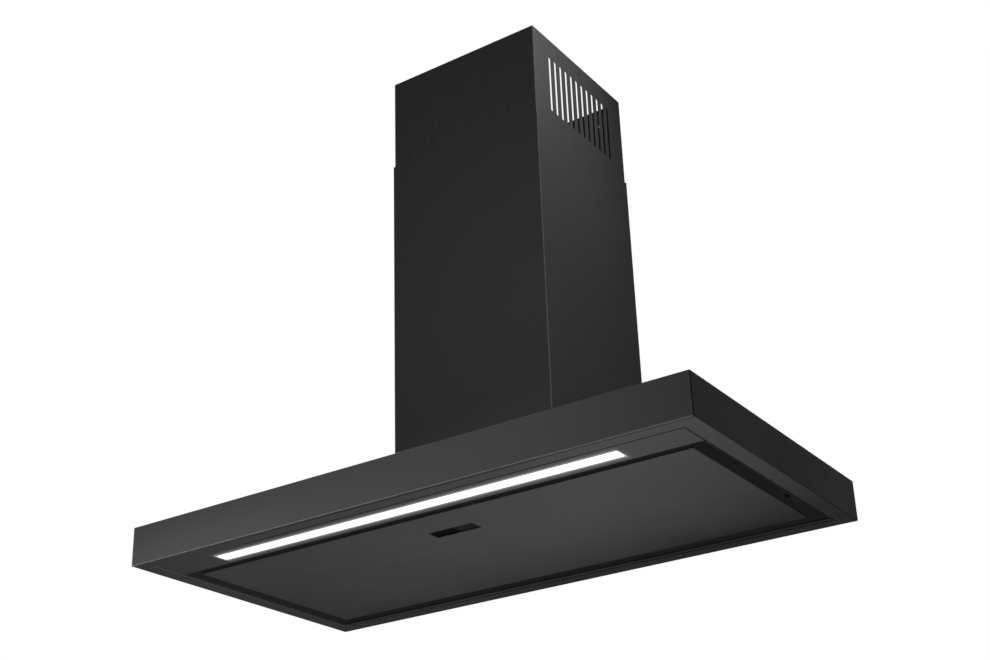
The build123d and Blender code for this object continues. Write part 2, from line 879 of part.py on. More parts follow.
def blower_box():
    """Sheet box on the canopy, open below inside its flange, hung by two windows behind."""
    case = pan(-box_half_width, box_half_width, box_y_front, box_y_rear, box_floor, box_top,
               sheet, 0, sheet + box_flange, "below")
    front, rear = mouth_edges()
    mouth_width = 2 * (impeller_half_width + scroll_side_gap)
    outlet = Circle(duct_radius - collar_wall) & Rectangle(mouth_width, rear - front)
    case -= along_z(Pos(0, collar_middle()) * outlet, box_ceiling - 1, box_top + 1)
    case -= blower_screw_holes()
    for sign in (-1, 1):
        x = sign * hook_x
        reach = hook_width / 2 + 2
        case -= block(x - reach, x + reach, box_y_rear - 3, box_y_rear + 1,
                      hook_base - 12, hook_seat)
        case -= rod(safety_hole_radius, 6,
                    (x, box_y_rear + 2, canopy_top + safety_hole_height), (0, -1, 0))
    stud = (box_half_width - 3, -capacitor_y, canopy_top + capacitor_above_top)
    case -= rod(capacitor_stud, 6, stud, (1, 0, 0))
    return case - collar_screw_holes()


def wall_hook(sign):
    """Hook that is screwed to the wall and carries the box's rear window."""
    front = -(2 * hook_sheet + hook_channel)
    outline = [(0, hook_seat + hook_height), (0, hook_base), (front, hook_base),
               (front, hook_seat + hook_lip)]
    x = sign * hook_x
    hook = along_x(folded(outline, hook_sheet, Side.RIGHT, 3.0),
                   x - hook_width / 2, x + hook_width / 2)
    corners = hook.edges().filter_by(Axis.Y).sort_by(Axis.Z)[-2:]
    hook = fillet(corners, 5)
    for z in (hole_low_z, hole_high_z):
        hook -= rod(hook_hole_radius, 6, (x, 1, z), (0, -1, 0))
    return hook


# ---- scroll housing ----

def scroll_outline(offset_out):
    """Flow path from the tongue round three growing quarter arcs and up to the mouth."""
    y, z, first = scroll_centre()
    grow = scroll_growth
    tip = tongue_radius - offset_out
    tongue = (y, z + first + tongue_radius)
    radii = [first + step * grow + offset_out for step in range(3)]
    centres = [(y, z), (y - grow, z), (y - grow, z + grow)]
    inner_wall = Line((tongue[0] - tip, box_ceiling), (tongue[0] - tip, tongue[1]))
    nose = CenterArc(tongue, tip, 180, 90)
    rear = CenterArc(centres[0], radii[0], 90, -90)
    bottom = CenterArc(centres[1], radii[1], 0, -90)
    front = CenterArc(centres[2], radii[2], 270, -90)
    outer_wall = Line((centres[2][0] - radii[2], centres[2][1]),
                      (centres[2][0] - radii[2], box_ceiling))
    return [inner_wall, nose, rear, bottom, front, outer_wall]


def closed_face(lines):
    """Face bounded by a run of lines and the straight line that closes it."""
    start = lines[0] @ 0
    end = lines[-1] @ 1
    return make_face(lines + [Line(end, start)])


def scroll_half():
    """Right half of the scroll housing, with its inlet and half the mouth's flange."""
    flow = closed_face(scroll_outline(0))
    skin = closed_face(scroll_outline(scroll_wall))
    half = impeller_half_width + scroll_side_gap
    shell = along_x(skin, 0, half + scroll_wall) - along_x(flow, -1, half)
    front, rear = mouth_edges()
    low = box_ceiling - scroll_flange_height
    reach = scroll_wall + scroll_flange
    flange = block(0, half + reach, front - reach, rear + reach, low, box_ceiling)
    shell += flange - block(-1, half, front, rear, low - 1, box_ceiling + 1)
    shell -= rod(inlet_radius, scroll_wall + 2, (half - 1, fan_y, fan_z), (1, 0, 0))
    mouth = [(inlet_radius, -inlet_lip), (inlet_radius + scroll_wall, -inlet_lip),
             (inlet_radius + 2 * scroll_wall, scroll_wall + inlet_lip / 2),
             (inlet_radius + scroll_wall, scroll_wall + inlet_lip / 2)]
    ring = revolve(Plane.XZ * make_face(Polyline(*mouth, close=True)), Axis.Z)
    shell += Plane(origin=(half, fan_y, fan_z), z_dir=(1, 0, 0)) * ring
    return shell - collar_screw_holes()


# ---- impeller and motor ----

wheel_inner = impeller_radius - blade_depth
wheel_place = Plane(origin=(0, fan_y, fan_z), x_dir=(0, 1, 0), z_dir=(1, 0, 0))


def blade_section():
    """One forward-curved blade, drawn at the top of the wheel, which turns towards +x there."""
    chord = blade_depth / cos(radians(blade_lean)) - 1
    bow = [(0, 0), (-blade_bulge, chord / 2), (0, chord)]
    back = [(x + blade_thickness, y) for x, y in reversed(bow)]
    blade = make_face(Polyline(*bow, *back, close=True))
    return Pos(0, wheel_inner) * Rotation(0, 0, -blade_lean) * blade


def wheel_band():
    """Blades about the wheel's axis, joined by two end rings and the band round the disc."""
    blade = blade_section()
    faces = [Rotation(0, 0, n * 360 / blade_count) * blade for n in range(blade_count)]
    reach = impeller_half_width - impeller_ring
    blades = [extrude(Plane.XY.offset(-reach) * face, 2 * reach) for face in faces]
    ring = Circle(impeller_radius) - Circle(impeller_radius - ring_depth)
    starts = (-impeller_half_width, reach)
    rings = [extrude(Plane.XY.offset(z) * ring, impeller_ring) for z in starts]
    seat = Circle(wheel_inner + ring_depth) - Circle(wheel_inner)
    seat = extrude(Plane.XY.offset(-impeller_disc / 2) * seat, impeller_disc)
    return seat + blades + rings


def wheel_hub():
    """Disc inside the band, with a hub that is bored for the shaft."""
    disc = extrude(Plane.XY.offset(-impeller_disc / 2) * Circle(wheel_inner), impeller_disc)
    hub = extrude(Plane.XY.offset(-hub_reach) * Circle(hub_radius), hub_reach + impeller_disc)
    hub = chamfer(hub.faces().sort_by(Axis.Z)[0].edges(), 2)
    bore = hub_reach + impeller_disc + 2
    return disc + hub - extrude(Plane.XY.offset(-hub_reach - 1) * Circle(shaft_radius), bore)


def impeller():
    """Double-inlet wheel of curved blades."""
    return wheel_place * (wheel_band() - extrude(Circle(wheel_inner), impeller_disc, both=True))


def impeller_hub():
    """Steel disc and hub that carry the wheel on the shaft."""
    return wheel_place * wheel_hub()


def motor():
    """Motor inside the right inlet: ribbed drum with a stepped nose and a bore for the shaft."""
    length = motor_end - motor_start
    profile = [(0, 0), (motor_radius * 0.45, 0), (motor_radius * 0.5, motor_nose / 2),
               (motor_radius - 3, motor_nose / 2), (motor_radius, motor_nose),
               (motor_radius, length - 6), (motor_radius - 4, length), (0, length)]
    drum = revolve(Plane.XZ * make_face(Polyline(*profile, close=True)), Axis.Z)
    for n in range(8):
        rib = block(motor_radius - 1, motor_radius + 2, -1.5, 1.5, motor_nose + 4, length - 10)
        drum += Rotation(0, 0, n * 45) * rib
    drum -= extrude(Circle(shaft_radius + running_fit), length - 4)
    return Plane(origin=(motor_start, fan_y, fan_z), x_dir=(0, 1, 0), z_dir=(1, 0, 0)) * drum


def motor_shaft():
    """Shaft from the clip through the hub and into the motor."""
    start = -hub_reach - clip_width
    end = motor_end - 5
    return rod(shaft_radius, end - start, (start, fan_y, fan_z), (1, 0, 0))


def impeller_clip():
    """Ring that holds the wheel on the shaft."""
    start = (-hub_reach - clip_width, fan_y, fan_z)
    ring = rod(clip_radius, clip_width, start, (1, 0, 0))
    return ring - rod(shaft_radius, clip_width + 2, (start[0] - 1, fan_y, fan_z), (1, 0, 0))


bush_angles = (90, 210, 330)
scroll_face = impeller_half_width + scroll_side_gap + scroll_wall


def bush_place(angle):
    """Middle of one bush on the scroll's side."""
    turn = radians(angle)
    return (scroll_face, fan_y + bush_circle * cos(turn), fan_z + bush_circle * sin(turn))


def motor_bracket():
    """Three-armed plate that carries the motor in the inlet."""
    face = Circle(bracket_hub_radius)
    for angle in bush_angles:
        turn = radians(angle)
        reach = bush_circle / 2
        arm = Rectangle(bush_circle, motor_arm_width)
        face += Pos(reach * cos(turn), reach * sin(turn)) * Rotation(0, 0, angle) * arm
        tip = Circle(motor_arm_width / 2)
        face += Pos(bush_circle * cos(turn), bush_circle * sin(turn)) * tip
    plane = Plane(origin=(motor_end, fan_y, fan_z), x_dir=(0, 1, 0), z_dir=(1, 0, 0))
    return extrude(plane * face, motor_arm_sheet)


def motor_bushes():
    """Rubber bushes between the bracket and the scroll."""
    return [rod(bush_radius, motor_end - scroll_face, bush_place(angle), (1, 0, 0))
            for angle in bush_angles]


def capacitor():
    """Can on the box's side wall, held by its stud."""
    wall = (box_half_width - sheet, -capacitor_y, canopy_top + capacitor_above_top)
    can = rod(capacitor_radius, capacitor_length, wall, (-1, 0, 0))
    can = chamfer(can.faces().sort_by(Axis.X)[0].edges(), 2)
    return can + rod(capacitor_stud, 5, wall, (1, 0, 0))


# ---- outlet collar and dampers ----

def collar_screw_places():
    """Four screws through the collar's flange into the flange of the scroll's mouth."""
    reach = duct_radius + collar_flange / 2
    y = collar_middle()
    return [(side * reach * cos(radians(collar_screw_angle)),
             y + end * reach * sin(radians(collar_screw_angle)))
            for side in (-1, 1) for end in (-1, 1)]


def collar_screw_holes():
    """Holes for the collar's screws, through all that they hold."""
    return [stem(collar_screw_radius, 20, (x, y, box_top - 10), (0, 0, 1))
            for x, y in collar_screw_places()]


flap_z = box_top + flap_above_flange


def outlet_collar():
    """Moulded spigot with a flange, a bead at its rim, and a bar and ledges under the flaps."""
    inner = duct_radius - collar_wall
    top = collar_height
    rim = 1.2
    profile = [(inner, 0), (duct_radius + collar_flange, 0),
               (duct_radius + collar_flange, collar_flange_height),
               (duct_radius, collar_flange_height), (duct_radius, top - rim),
               (duct_radius - rim, top), (inner, top)]
    collar = revolve(Plane.XZ * make_face(Polyline(*profile, close=True)), Axis.Z)
    ledge_top = flap_above_flange - flap_barrel_radius - touch_gap
    ledge = Circle(inner) - Circle(inner - flap_ledge)
    collar += extrude(Plane.XY.offset(ledge_top - 2) * ledge, 2)
    collar += block(-inner, inner, -collar_bar_width / 2, collar_bar_width / 2,
                    ledge_top - 4, ledge_top)
    pin = flap_pin_radius + running_fit
    for sign in (-1, 1):
        collar -= rod(pin, 2 * duct_radius + 2,
                      (-duct_radius - 1, sign * flap_offset, flap_above_flange), (1, 0, 0))
    return Pos(0, collar_middle(), box_top) * collar - collar_screw_holes()


def damper_flap(turn):
    """Half-round flap with a barrel along its straight edge and a pin at each end.

    Both flaps are one moulding, drawn as the rear one; the front one is turned half round.
    """
    inner = duct_radius - collar_wall - flap_edge_gap
    disc = Circle(inner) & Pos(0, flap_offset + inner / 2) * Rectangle(2 * inner, inner)
    flap = extrude(Plane.XY.offset(-flap_thickness / 2) * disc, flap_thickness)
    span = sqrt(inner ** 2 - (flap_offset + flap_barrel_radius) ** 2)
    flap += rod(flap_barrel_radius, 2 * span, (-span, flap_offset, 0), (1, 0, 0))
    flap += rod(flap_pin_radius, 2 * duct_radius, (-duct_radius, flap_offset, 0), (1, 0, 0))
    for x in (-flap_rib_spacing, 0, flap_rib_spacing):
        flap += block(x - 1, x + 1, flap_offset, flap_offset + flap_rib_length, 0, flap_rib_height)
    return Pos(0, collar_middle(), flap_z) * Rotation(0, 0, turn) * flap


# ---- terminal box ----

terminal_x0 = -terminal_left
terminal_x1 = terminal_x0 + terminal_length
terminal_y1 = -terminal_rear
terminal_y0 = terminal_y1 - terminal_depth
terminal_z1 = box_top + terminal_height
gland_x = terminal_x1 - gland_inset
gland_y = (terminal_y0 + terminal_y1) / 2
gland_neck = gland_radius - 2


def terminal_box():
    """Moulded mains box on the blower box, open in front, with the gland's hole in its top."""
    case = block(terminal_x0, terminal_x1, terminal_y0, terminal_y1, box_top, terminal_z1)
    case = fillet(case.edges().filter_by(Axis.Y), terminal_corner)
    wall = terminal_wall
    case -= block(terminal_x0 + wall, terminal_x1 - wall, terminal_y0 - 1,
                  terminal_y1 - wall, box_top + wall, terminal_z1 - wall)
    return case - rod(gland_neck, wall + 2, (gland_x, gland_y, terminal_z1 - wall - 1), (0, 0, 1))


def terminal_lid():
    """Lid on the front, with a lip inside the box."""
    front = terminal_y0 - lid_thickness
    lid = block(terminal_x0, terminal_x1, front, terminal_y0, box_top, terminal_z1)
    lid = fillet(lid.edges().filter_by(Axis.Y), terminal_corner)
    lid = chamfer(lid.faces().sort_by(Axis.Y)[0].edges(), 1)
    inset = terminal_wall + insert_fit
    return lid + block(terminal_x0 + inset, terminal_x1 - inset, terminal_y0,
                       terminal_y0 + lid_lip, box_top + inset, terminal_z1 - inset)


def terminal_block():
    """Screw terminals on the box's rear wall, their screws facing the lid."""
    left = terminal_x0 + block_inset
    rear = terminal_y1 - terminal_wall
    low = box_top + (terminal_height - block_height) / 2
    body = block(left, left + block_length, rear - block_depth, rear, low, low + block_height)
    pitch = block_length / pole_count
    for n in range(pole_count):
        pole = left + (n + 0.5) * pitch
        body -= rod(pole_radius, 6, (pole, rear - block_depth + 4, low + block_height / 2),
                    (0, -1, 0))
    return body


def cable_gland():
    """Cable inlet: a hexagon on the box's top, a neck through its wall, a clear bore."""
    seat = terminal_z1
    place = Pos(gland_x, gland_y)
    hexagon = place * RegularPolygon(gland_radius, 6, major_radius=False)
    gland = along_z(hexagon, seat, seat + gland_reach / 2)
    gland += along_z(place * Circle(gland_radius - 1), seat, seat + gland_reach)
    gland = chamfer(gland.faces().sort_by(Axis.Z)[-1].edges(), 1.5)
    inside = seat - terminal_wall
    gland += along_z(place * Circle(gland_neck), inside, seat)
    gland += along_z(place * Circle(gland_radius), inside - gland_flange, inside)
    return gland - along_z(place * Circle(cable_radius), inside - gland_flange - 1,
                           seat + gland_reach + 1)


# ---- chimney ----

upper_half = upper_width / 2
lower_inner_half = upper_half + slide_gap
lower_half = lower_inner_half + sheet
lower_front = -(upper_depth + slide_gap + sheet)
upper_low = rim_height - upper_length
side_hole_y = -upper_depth / 2
side_hole_z = rim_height - side_hole_below_rim


def lower_chimney():
    """Lower cover: front and two sides, edges returned at the wall, tabs on the canopy."""
    outline = [(lower_half - lower_return, 0), (lower_half, 0), (lower_half, lower_front),
               (-lower_half, lower_front), (-lower_half, 0), (-lower_half + lower_return, 0)]
    cover = along_z(folded(outline, sheet, Side.RIGHT), canopy_top, lower_top)
    for x, y in cover_screw_places():
        cover += block(x - lower_return / 2, x + lower_return / 2, y - cover_tab / 2,
                       y + cover_tab / 2, canopy_top, canopy_top + sheet)
    return cover - cover_screw_holes()


def vent_slot():
    """Upright slot, each round end drawn as four flats."""
    radius = slot_width / 2
    reach = slot_length / 2 - radius
    end = [(radius * cos(radians(turn)), reach + radius * sin(radians(turn)))
           for turn in range(0, 181, 45)]
    return make_face(Polyline(*end, *[(-x, -y) for x, y in end], close=True))


def upper_chimney():
    """Upper cover: slides in the lower one, with vent slots and a screw hole in each side."""
    rear = -upper_rear
    outline = [(upper_half - upper_return, rear), (upper_half, rear), (upper_half, -upper_depth),
               (-upper_half, -upper_depth), (-upper_half, rear),
               (-upper_half + upper_return, rear)]
    cover = along_z(folded(outline, sheet, Side.RIGHT), upper_low, rim_height)
    returns_top = rim_height - wall_plate_height - touch_gap
    inner = upper_half - sheet
    cover -= block(-inner, inner, rear - 4, rear + 1, returns_top, rim_height + 1)
    slot = vent_slot()
    slot_z = rim_height - slot_below_rim - slot_length / 2
    first = side_hole_y - (slot_count - 1) * slot_pitch / 2
    slots = [Pos(first + n * slot_pitch, slot_z) * slot for n in range(slot_count)]
    for x in (-upper_half - 1, upper_half - sheet - 1):
        cover -= [along_x(face, x, x + sheet + 2) for face in slots]
    return cover - side_holes()


def side_holes():
    """Screw holes through both sides, near the rim."""
    return rod(side_hole_radius, upper_width + 2, (-upper_half - 1, side_hole_y, side_hole_z),
               (1, 0, 0))


def wall_hole_places():
    """Wall holes of the upper bracket."""
    top = rim_height - wall_hole_below_rim
    return [(sign * wall_hole_spacing_x / 2, z)
            for sign in (-1, 1) for z in (top, top - wall_hole_spacing_z)]


def upper_wall_bracket():
    """Plate that closes the back of the upper cover, with two arms inside its sides."""
    half = upper_half - sheet - insert_fit
    rear = -upper_rear
    outline = [(half, -wall_arm_reach), (half, rear), (-half, rear), (-half, -wall_arm_reach)]
    top = rim_height - wall_arm_below_rim
    arms = along_z(folded(outline, wall_plate_sheet, Side.LEFT, 2.0),
                   top - wall_arm_height, top)
    reach = half - 2.0
    bracket = arms + block(-reach, reach, rear - wall_plate_sheet, rear,
                           rim_height - wall_plate_height, rim_height)
    for x, z in wall_hole_places():
        bracket += rod(wall_boss_radius, upper_rear, (x, 0, z), (0, -1, 0))
        bracket -= rod(wall_boss_radius - wall_plate_sheet, 5,
                       (x, -wall_plate_sheet, z), (0, -1, 0))
        bracket -= rod(wall_hole_radius, 10, (x, 1, z), (0, -1, 0))
    return bracket - side_holes()


# ---- all pieces ----

keep("canopy_shell", canopy_shell())
keep("canopy_stiffener", canopy_stiffener())
keep("inner_liner", inner_liner())
keep("liner_standoffs", *liner_standoffs())
keep("liner_screws", *[screw(liner_screw_radius, liner_screw_head, liner_screw_head_height,
                             liner_screw_length, x, y, tray_height, 1) for x, y in standoffs])

keep("led_diffuser", led_diffuser())
keep("led_profile", led_profile())
keep("led_board", led_board())
keep("led_chips", *led_chips())
keep("led_end_caps", led_end_cap(), mirrored(led_end_cap()))
keep("profile_nuts", *profile_nuts())
keep("led_driver", module_case(driver_length, driver_width, 1))
keep("power_module", module_case(module_length, module_width, -1))

keep("control_housing", control_housing())
keep("display_glass", display_glass())
keep("control_board", control_board())

keep("suction_panel", suction_panel())
keep("panel_stiffeners", *panel_ribs())
keep("hinge_arms", hinge_arm(), mirrored(hinge_arm()))
keep("striker_plates", striker_plate(), mirrored(striker_plate()))
brackets = hinge_bracket_pair()
keep("hinge_brackets", *brackets, *[mirrored(angle) for angle in brackets])
keep("hinge_pins", hinge_pin(), mirrored(hinge_pin()))
keep("magnet_catches", magnet_catch(), mirrored(magnet_catch()))
keep("catch_magnets", catch_magnet(), mirrored(catch_magnet()))

for side, sign in (("left", -1), ("right", 1)):
    place = Pos(sign * filter_spacing / 2, 0, 0)
    keep(f"grease_filter_frame_{side}", place * filter_frame())
    keep(f"grease_filter_mesh_{side}", place * filter_mesh())
    keep(f"filter_handle_{side}", place * filter_handle())
    keep(f"filter_latch_{side}", place * filter_latch())

keep("blower_box", blower_box())
keep("blower_screws", *[screw(blower_screw_radius, blower_screw_head, blower_screw_head_height,
                              blower_screw_length, sign * blower_screw_x, y,
                              ceiling - stiffener_sheet, 1)
                        for sign in (-1, 1) for y in blower_screw_ys])
keep("wall_hooks", wall_hook(-1), wall_hook(1))
keep("scroll_housing_right", scroll_half())
keep("scroll_housing_left", mirrored(scroll_half()))
keep("impeller", impeller())
keep("impeller_hub", impeller_hub())
keep("motor_shaft", motor_shaft())
keep("impeller_clip", impeller_clip())
keep("motor", motor())
keep("motor_bracket", motor_bracket())
keep("motor_bushes", *motor_bushes())
keep("capacitor", capacitor())

keep("outlet_collar", outlet_collar())
collar_screw_length = collar_flange_height + sheet + collar_screw_grip
keep("collar_screws", *[screw(collar_screw_radius, collar_screw_head, collar_screw_head_height,
                              collar_screw_length, x, y, box_top + collar_flange_height, -1)
                        for x, y in collar_screw_places()])
keep("damper_flap_front", damper_flap(180))
keep("damper_flap_rear", damper_flap(0))

keep("terminal_box", terminal_box())
keep("terminal_lid", terminal_lid())
keep("terminal_block", terminal_block())
keep("cable_gland", cable_gland())

keep("lower_chimney", lower_chimney())
keep("cover_screws", *[screw(cover_screw_radius, cover_screw_head, cover_screw_head_height,
                             cover_screw_length, x, y, canopy_top + sheet, -1)
                       for x, y in cover_screw_places()])
keep("upper_chimney", upper_chimney())
keep("upper_wall_bracket", upper_wall_bracket())

# ---- export, with the origin at the middle of the wall holes ----

origin = Pos(0, 0, -hang_height)
for name, solids in pieces.items():
    placed = [origin * solid for solid in solids]
    export_step(Compound(children=placed), f"parts/{name}.step")
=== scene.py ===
import math

import bmesh
import bpy
from mathutils import Matrix, Vector


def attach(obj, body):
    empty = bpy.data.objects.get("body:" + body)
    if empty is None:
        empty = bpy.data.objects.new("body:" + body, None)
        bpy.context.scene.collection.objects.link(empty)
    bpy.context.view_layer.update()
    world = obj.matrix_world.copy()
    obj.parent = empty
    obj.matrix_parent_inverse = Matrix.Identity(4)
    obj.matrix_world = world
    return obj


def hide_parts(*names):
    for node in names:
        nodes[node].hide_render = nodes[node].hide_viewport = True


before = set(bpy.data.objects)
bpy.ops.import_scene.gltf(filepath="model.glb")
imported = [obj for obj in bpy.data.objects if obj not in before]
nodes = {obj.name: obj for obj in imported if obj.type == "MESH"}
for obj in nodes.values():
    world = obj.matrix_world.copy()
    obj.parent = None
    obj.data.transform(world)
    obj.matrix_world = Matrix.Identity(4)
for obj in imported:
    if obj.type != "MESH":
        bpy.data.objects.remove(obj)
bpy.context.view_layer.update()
print("loaded", len(nodes), "pieces")


# the camera stands below the hood and to its right, and looks up
photoCamera = {
    "place": (1.1641, -1.9635, -0.9439),
    "right": (0.82169, 0.56925, -0.02808),
    "down": (-0.26227, 0.33392, -0.90538),
    "focus": 1554.3,               # pixels
    "axis": (482.6, 344.9),        # where the optical axis meets the picture, pixels
    "picture": (990, 660),
    "sensor": 36,                  # mm
    "nearest": 0.05,               # metres, nothing closer is drawn
}


def newObject(name, data):
    thing = bpy.data.objects.new(name, data)
    bpy.context.scene.collection.objects.link(thing)
    return thing


def addCamera(view):
    right = Vector(view["right"]).normalized()
    down = Vector(view["down"])
    up = -(down - down.dot(right) * right).normalized()
    back = right.cross(up)
    turn = Matrix((right, up, back)).transposed().to_4x4()
    width, height = view["picture"]
    data = bpy.data.cameras.new("camera")
    data.sensor_width = view["sensor"]
    data.lens = view["focus"] / width * view["sensor"]
    data.shift_x = (width / 2 - view["axis"][0]) / width
    data.shift_y = (view["axis"][1] - height / 2) / width
    data.clip_start = view["nearest"]
    camera = newObject("camera", data)
    camera.matrix_world = Matrix.Translation(view["place"]) @ turn
    bpy.context.scene.camera = camera


addCamera(photoCamera)
print("camera set")


def join(tree, source, target):
    # a number or a colour is set on the socket itself, anything else is linked to it
    if isinstance(source, (int, float)):
        target.default_value = source
    elif isinstance(source, tuple):
        target.default_value = (*source, 1.0)
    else:
        tree.links.new(source, target)


def feed(tree, node, values):
    for label, value in values.items():
        join(tree, value, node.inputs[label])


def mathNode(tree, operation, *values, clamp=False):
    node = tree.nodes.new("ShaderNodeMath")
    node.operation = operation
    node.use_clamp = clamp
    for socket, value in zip(node.inputs, values):
        join(tree, value, socket)
    return node.outputs[0]


def vectorNode(tree, operation, first, second):
    node = tree.nodes.new("ShaderNodeVectorMath")
    node.operation = operation
    join(tree, first, node.inputs[0])
    join(tree, second, node.inputs[1])
    return node.outputs


def distanceNode(tree, alongX, alongY):
    squareY = mathNode(tree, "MULTIPLY", alongY, alongY)
    return mathNode(tree, "SQRT", mathNode(tree, "MULTIPLY_ADD", alongX, alongX, squareY))


def noiseNode(tree, vector, scale, detail, roughness):
    node = tree.nodes.new("ShaderNodeTexNoise")
    feed(tree, node, {"Vector": vector, "Scale": scale, "Detail": detail, "Roughness": roughness})
    return node.outputs["Fac"]


def rangeNode(tree, value, low, high, newLow=0.0, newHigh=1.0):
    node = tree.nodes.new("ShaderNodeMapRange")
    node.interpolation_type = "SMOOTHSTEP"
    feed(tree, node, {"Value": value, "From Min": low, "From Max": high,
                      "To Min": newLow, "To Max": newHigh})
    return node.outputs["Result"]


def objectPlace(tree):
    return tree.nodes.new("ShaderNodeTexCoord").outputs["Object"]


def objectNormal(tree):
    return tree.nodes.new("ShaderNodeTexCoord").outputs["Normal"]


def partsOf(tree, vector):
    split = tree.nodes.new("ShaderNodeSeparateXYZ")
    join(tree, vector, split.inputs[0])
    return split.outputs


# node groups that several finishes share; each has its own numbers above it:
# a noise is given as detail and roughness, a span as the values that turn into 0 and 1
def newGroup(name, inputs, outputs):
    group = bpy.data.node_groups.new(name, "ShaderNodeTree")
    for label, value in inputs.items():
        kind = "NodeSocketVector" if isinstance(value, tuple) else "NodeSocketFloat"
        socket = group.interface.new_socket(name=label, in_out="INPUT", socket_type=kind)
        socket.default_value = value
    for label in outputs:
        group.interface.new_socket(name=label, in_out="OUTPUT", socket_type="NodeSocketFloat")
    given = group.nodes.new("NodeGroupInput")
    out = group.nodes.new("NodeGroupOutput")
    return group, given.outputs, out.inputs


powderLook = {
    "fine": (3.0, 0.65),
    "peel": (1.0, 0.4),
    "drift": (3.0, 0.55),
    "fineShare": 0.4,              # shares of the height
    "peelShare": 0.6,
    "speckSpan": (0.32, 0.68),
    "toneSpan": (0.3, 0.7),
}


def buildPowderGrain(look):
    # cured powder: fine grains, a slow orange peel and a faint drift of tone
    group, given, out = newGroup("powderGrain", {"Grain": 900.0, "Peel": 160.0, "Drift": 7.0},
                                 ("Height", "Speck", "Tone"))
    place = objectPlace(group)
    fine = noiseNode(group, place, given["Grain"], *look["fine"])
    peel = noiseNode(group, place, given["Peel"], *look["peel"])
    drift = noiseNode(group, place, given["Drift"], *look["drift"])
    fineHeight = mathNode(group, "MULTIPLY", fine, look["fineShare"])
    height = mathNode(group, "MULTIPLY_ADD", peel, look["peelShare"], fineHeight)
    join(group, height, out["Height"])
    join(group, rangeNode(group, fine, *look["speckSpan"]), out["Speck"])
    join(group, rangeNode(group, drift, *look["toneSpan"]), out["Tone"])
    return group


edgeLook = {
    "samples": 4,                  # of the rounded normal
    "turnSpan": (0.02, 0.22),      # how far that normal has turned away
    "breakup": (4.0, 0.7),
    "breakupSpan": (0.38, 0.62),
}


def buildEdgeWear(look):
    # rubbed edges: where the rounded normal leaves the true one, broken up by noise
    group, given, out = newGroup("edgeWear", {"Radius": 0.0012, "Breakup": 120.0, "Amount": 0.5},
                                 ("Mask",))
    bevel = group.nodes.new("ShaderNodeBevel")
    bevel.samples = look["samples"]
    join(group, given["Radius"], bevel.inputs["Radius"])
    normal = group.nodes.new("ShaderNodeNewGeometry").outputs["Normal"]
    likeness = vectorNode(group, "DOT_PRODUCT", bevel.outputs[0], normal)["Value"]
    edge = rangeNode(group, mathNode(group, "SUBTRACT", 1.0, likeness), *look["turnSpan"])
    noise = noiseNode(group, objectPlace(group), given["Breakup"], *look["breakup"])
    mask = mathNode(group, "MULTIPLY", edge, rangeNode(group, noise, *look["breakupSpan"]))
    join(group, mathNode(group, "MULTIPLY", mask, given["Amount"], clamp=True), out["Mask"])
    return group


paintedFoldLook = {
    "facingSpan": (0.82, 0.96),
    "breakup": (3.0, 0.6),
    "breakupSpan": (0.25, 0.6, 0.6, 1.0),      # the last two are the least and the most shine
}


def buildPaintedFoldLight(look):
    # painted light on folds of the sheet that face one way, left and right alike: a highlight on
    # the lower bend and the chimney's near edges, shade along the upright corners
    sockets = {"Facing": (0.0, -0.707, -0.707), "Amount": 0.5, "Breakup": 60.0}
    group, given, out = newGroup("paintedFoldLight", sockets, ("Mask",))
    normal = partsOf(group, objectNormal(group))
    bothSides = group.nodes.new("ShaderNodeCombineXYZ")
    feed(group, bothSides, {"X": mathNode(group, "ABSOLUTE", normal["X"]),
                            "Y": normal["Y"], "Z": normal["Z"]})
    facing = vectorNode(group, "DOT_PRODUCT", bothSides.outputs[0], given["Facing"])["Value"]
    fold = rangeNode(group, facing, *look["facingSpan"])
    noise = noiseNode(group, objectPlace(group), given["Breakup"], *look["breakup"])
    mask = mathNode(group, "MULTIPLY", fold, rangeNode(group, noise, *look["breakupSpan"]))
    join(group, mathNode(group, "MULTIPLY", mask, given["Amount"], clamp=True), out["Mask"])
    return group


paintedJointLook = {
    "core": 0.5,                   # share of the width that is fully dark
    "patchScale": 45.0,
    "patch": (3.0, 0.6),
    "patchSpan": (0.3, 0.6, 0.7, 1.0),         # the last two are the least and the most painted shade
}


def buildPaintedJointLight(look):
    # painted shade: a dark line along a rectangular joint, where the gap between the sheets lies
    # in shade
    sockets = {"Half X": 0.4246, "Front Y": -0.4546, "Rear Y": -0.0254, "Width": 0.0016,
               "From X": -0.40, "To X": -0.38, "Below": -0.2765}
    group, given, out = newGroup("paintedJointLight", sockets, ("Mask", "PaintedHighlight"))
    place = objectPlace(group)
    spot = partsOf(group, place)
    sides = mathNode(group, "SUBTRACT", mathNode(group, "ABSOLUTE", spot["X"]), given["Half X"])
    front = mathNode(group, "SUBTRACT", given["Front Y"], spot["Y"])
    rear = mathNode(group, "SUBTRACT", spot["Y"], given["Rear Y"])
    outside = mathNode(group, "MAXIMUM", mathNode(group, "MAXIMUM", sides, front), rear)
    reach = mathNode(group, "ABSOLUTE", outside)
    core = mathNode(group, "MULTIPLY", given["Width"], look["core"])
    line = rangeNode(group, reach, core, given["Width"], 1.0, 0.0)
    noise = noiseNode(group, place, look["patchScale"], *look["patch"])
    line = mathNode(group, "MULTIPLY", line, rangeNode(group, noise, *look["patchSpan"]))
    below = mathNode(group, "LESS_THAN", spot["Z"], given["Below"])
    line = mathNode(group, "MULTIPLY", line, below)
    # towards the left the line is instead a painted highlight, where the sheet's cut edge catches
    # the light
    dark = rangeNode(group, spot["X"], given["From X"], given["To X"])
    pale = mathNode(group, "SUBTRACT", 1.0, dark)
    join(group, mathNode(group, "MULTIPLY", line, dark), out["Mask"])
    join(group, mathNode(group, "MULTIPLY", line, pale), out["PaintedHighlight"])
    return group


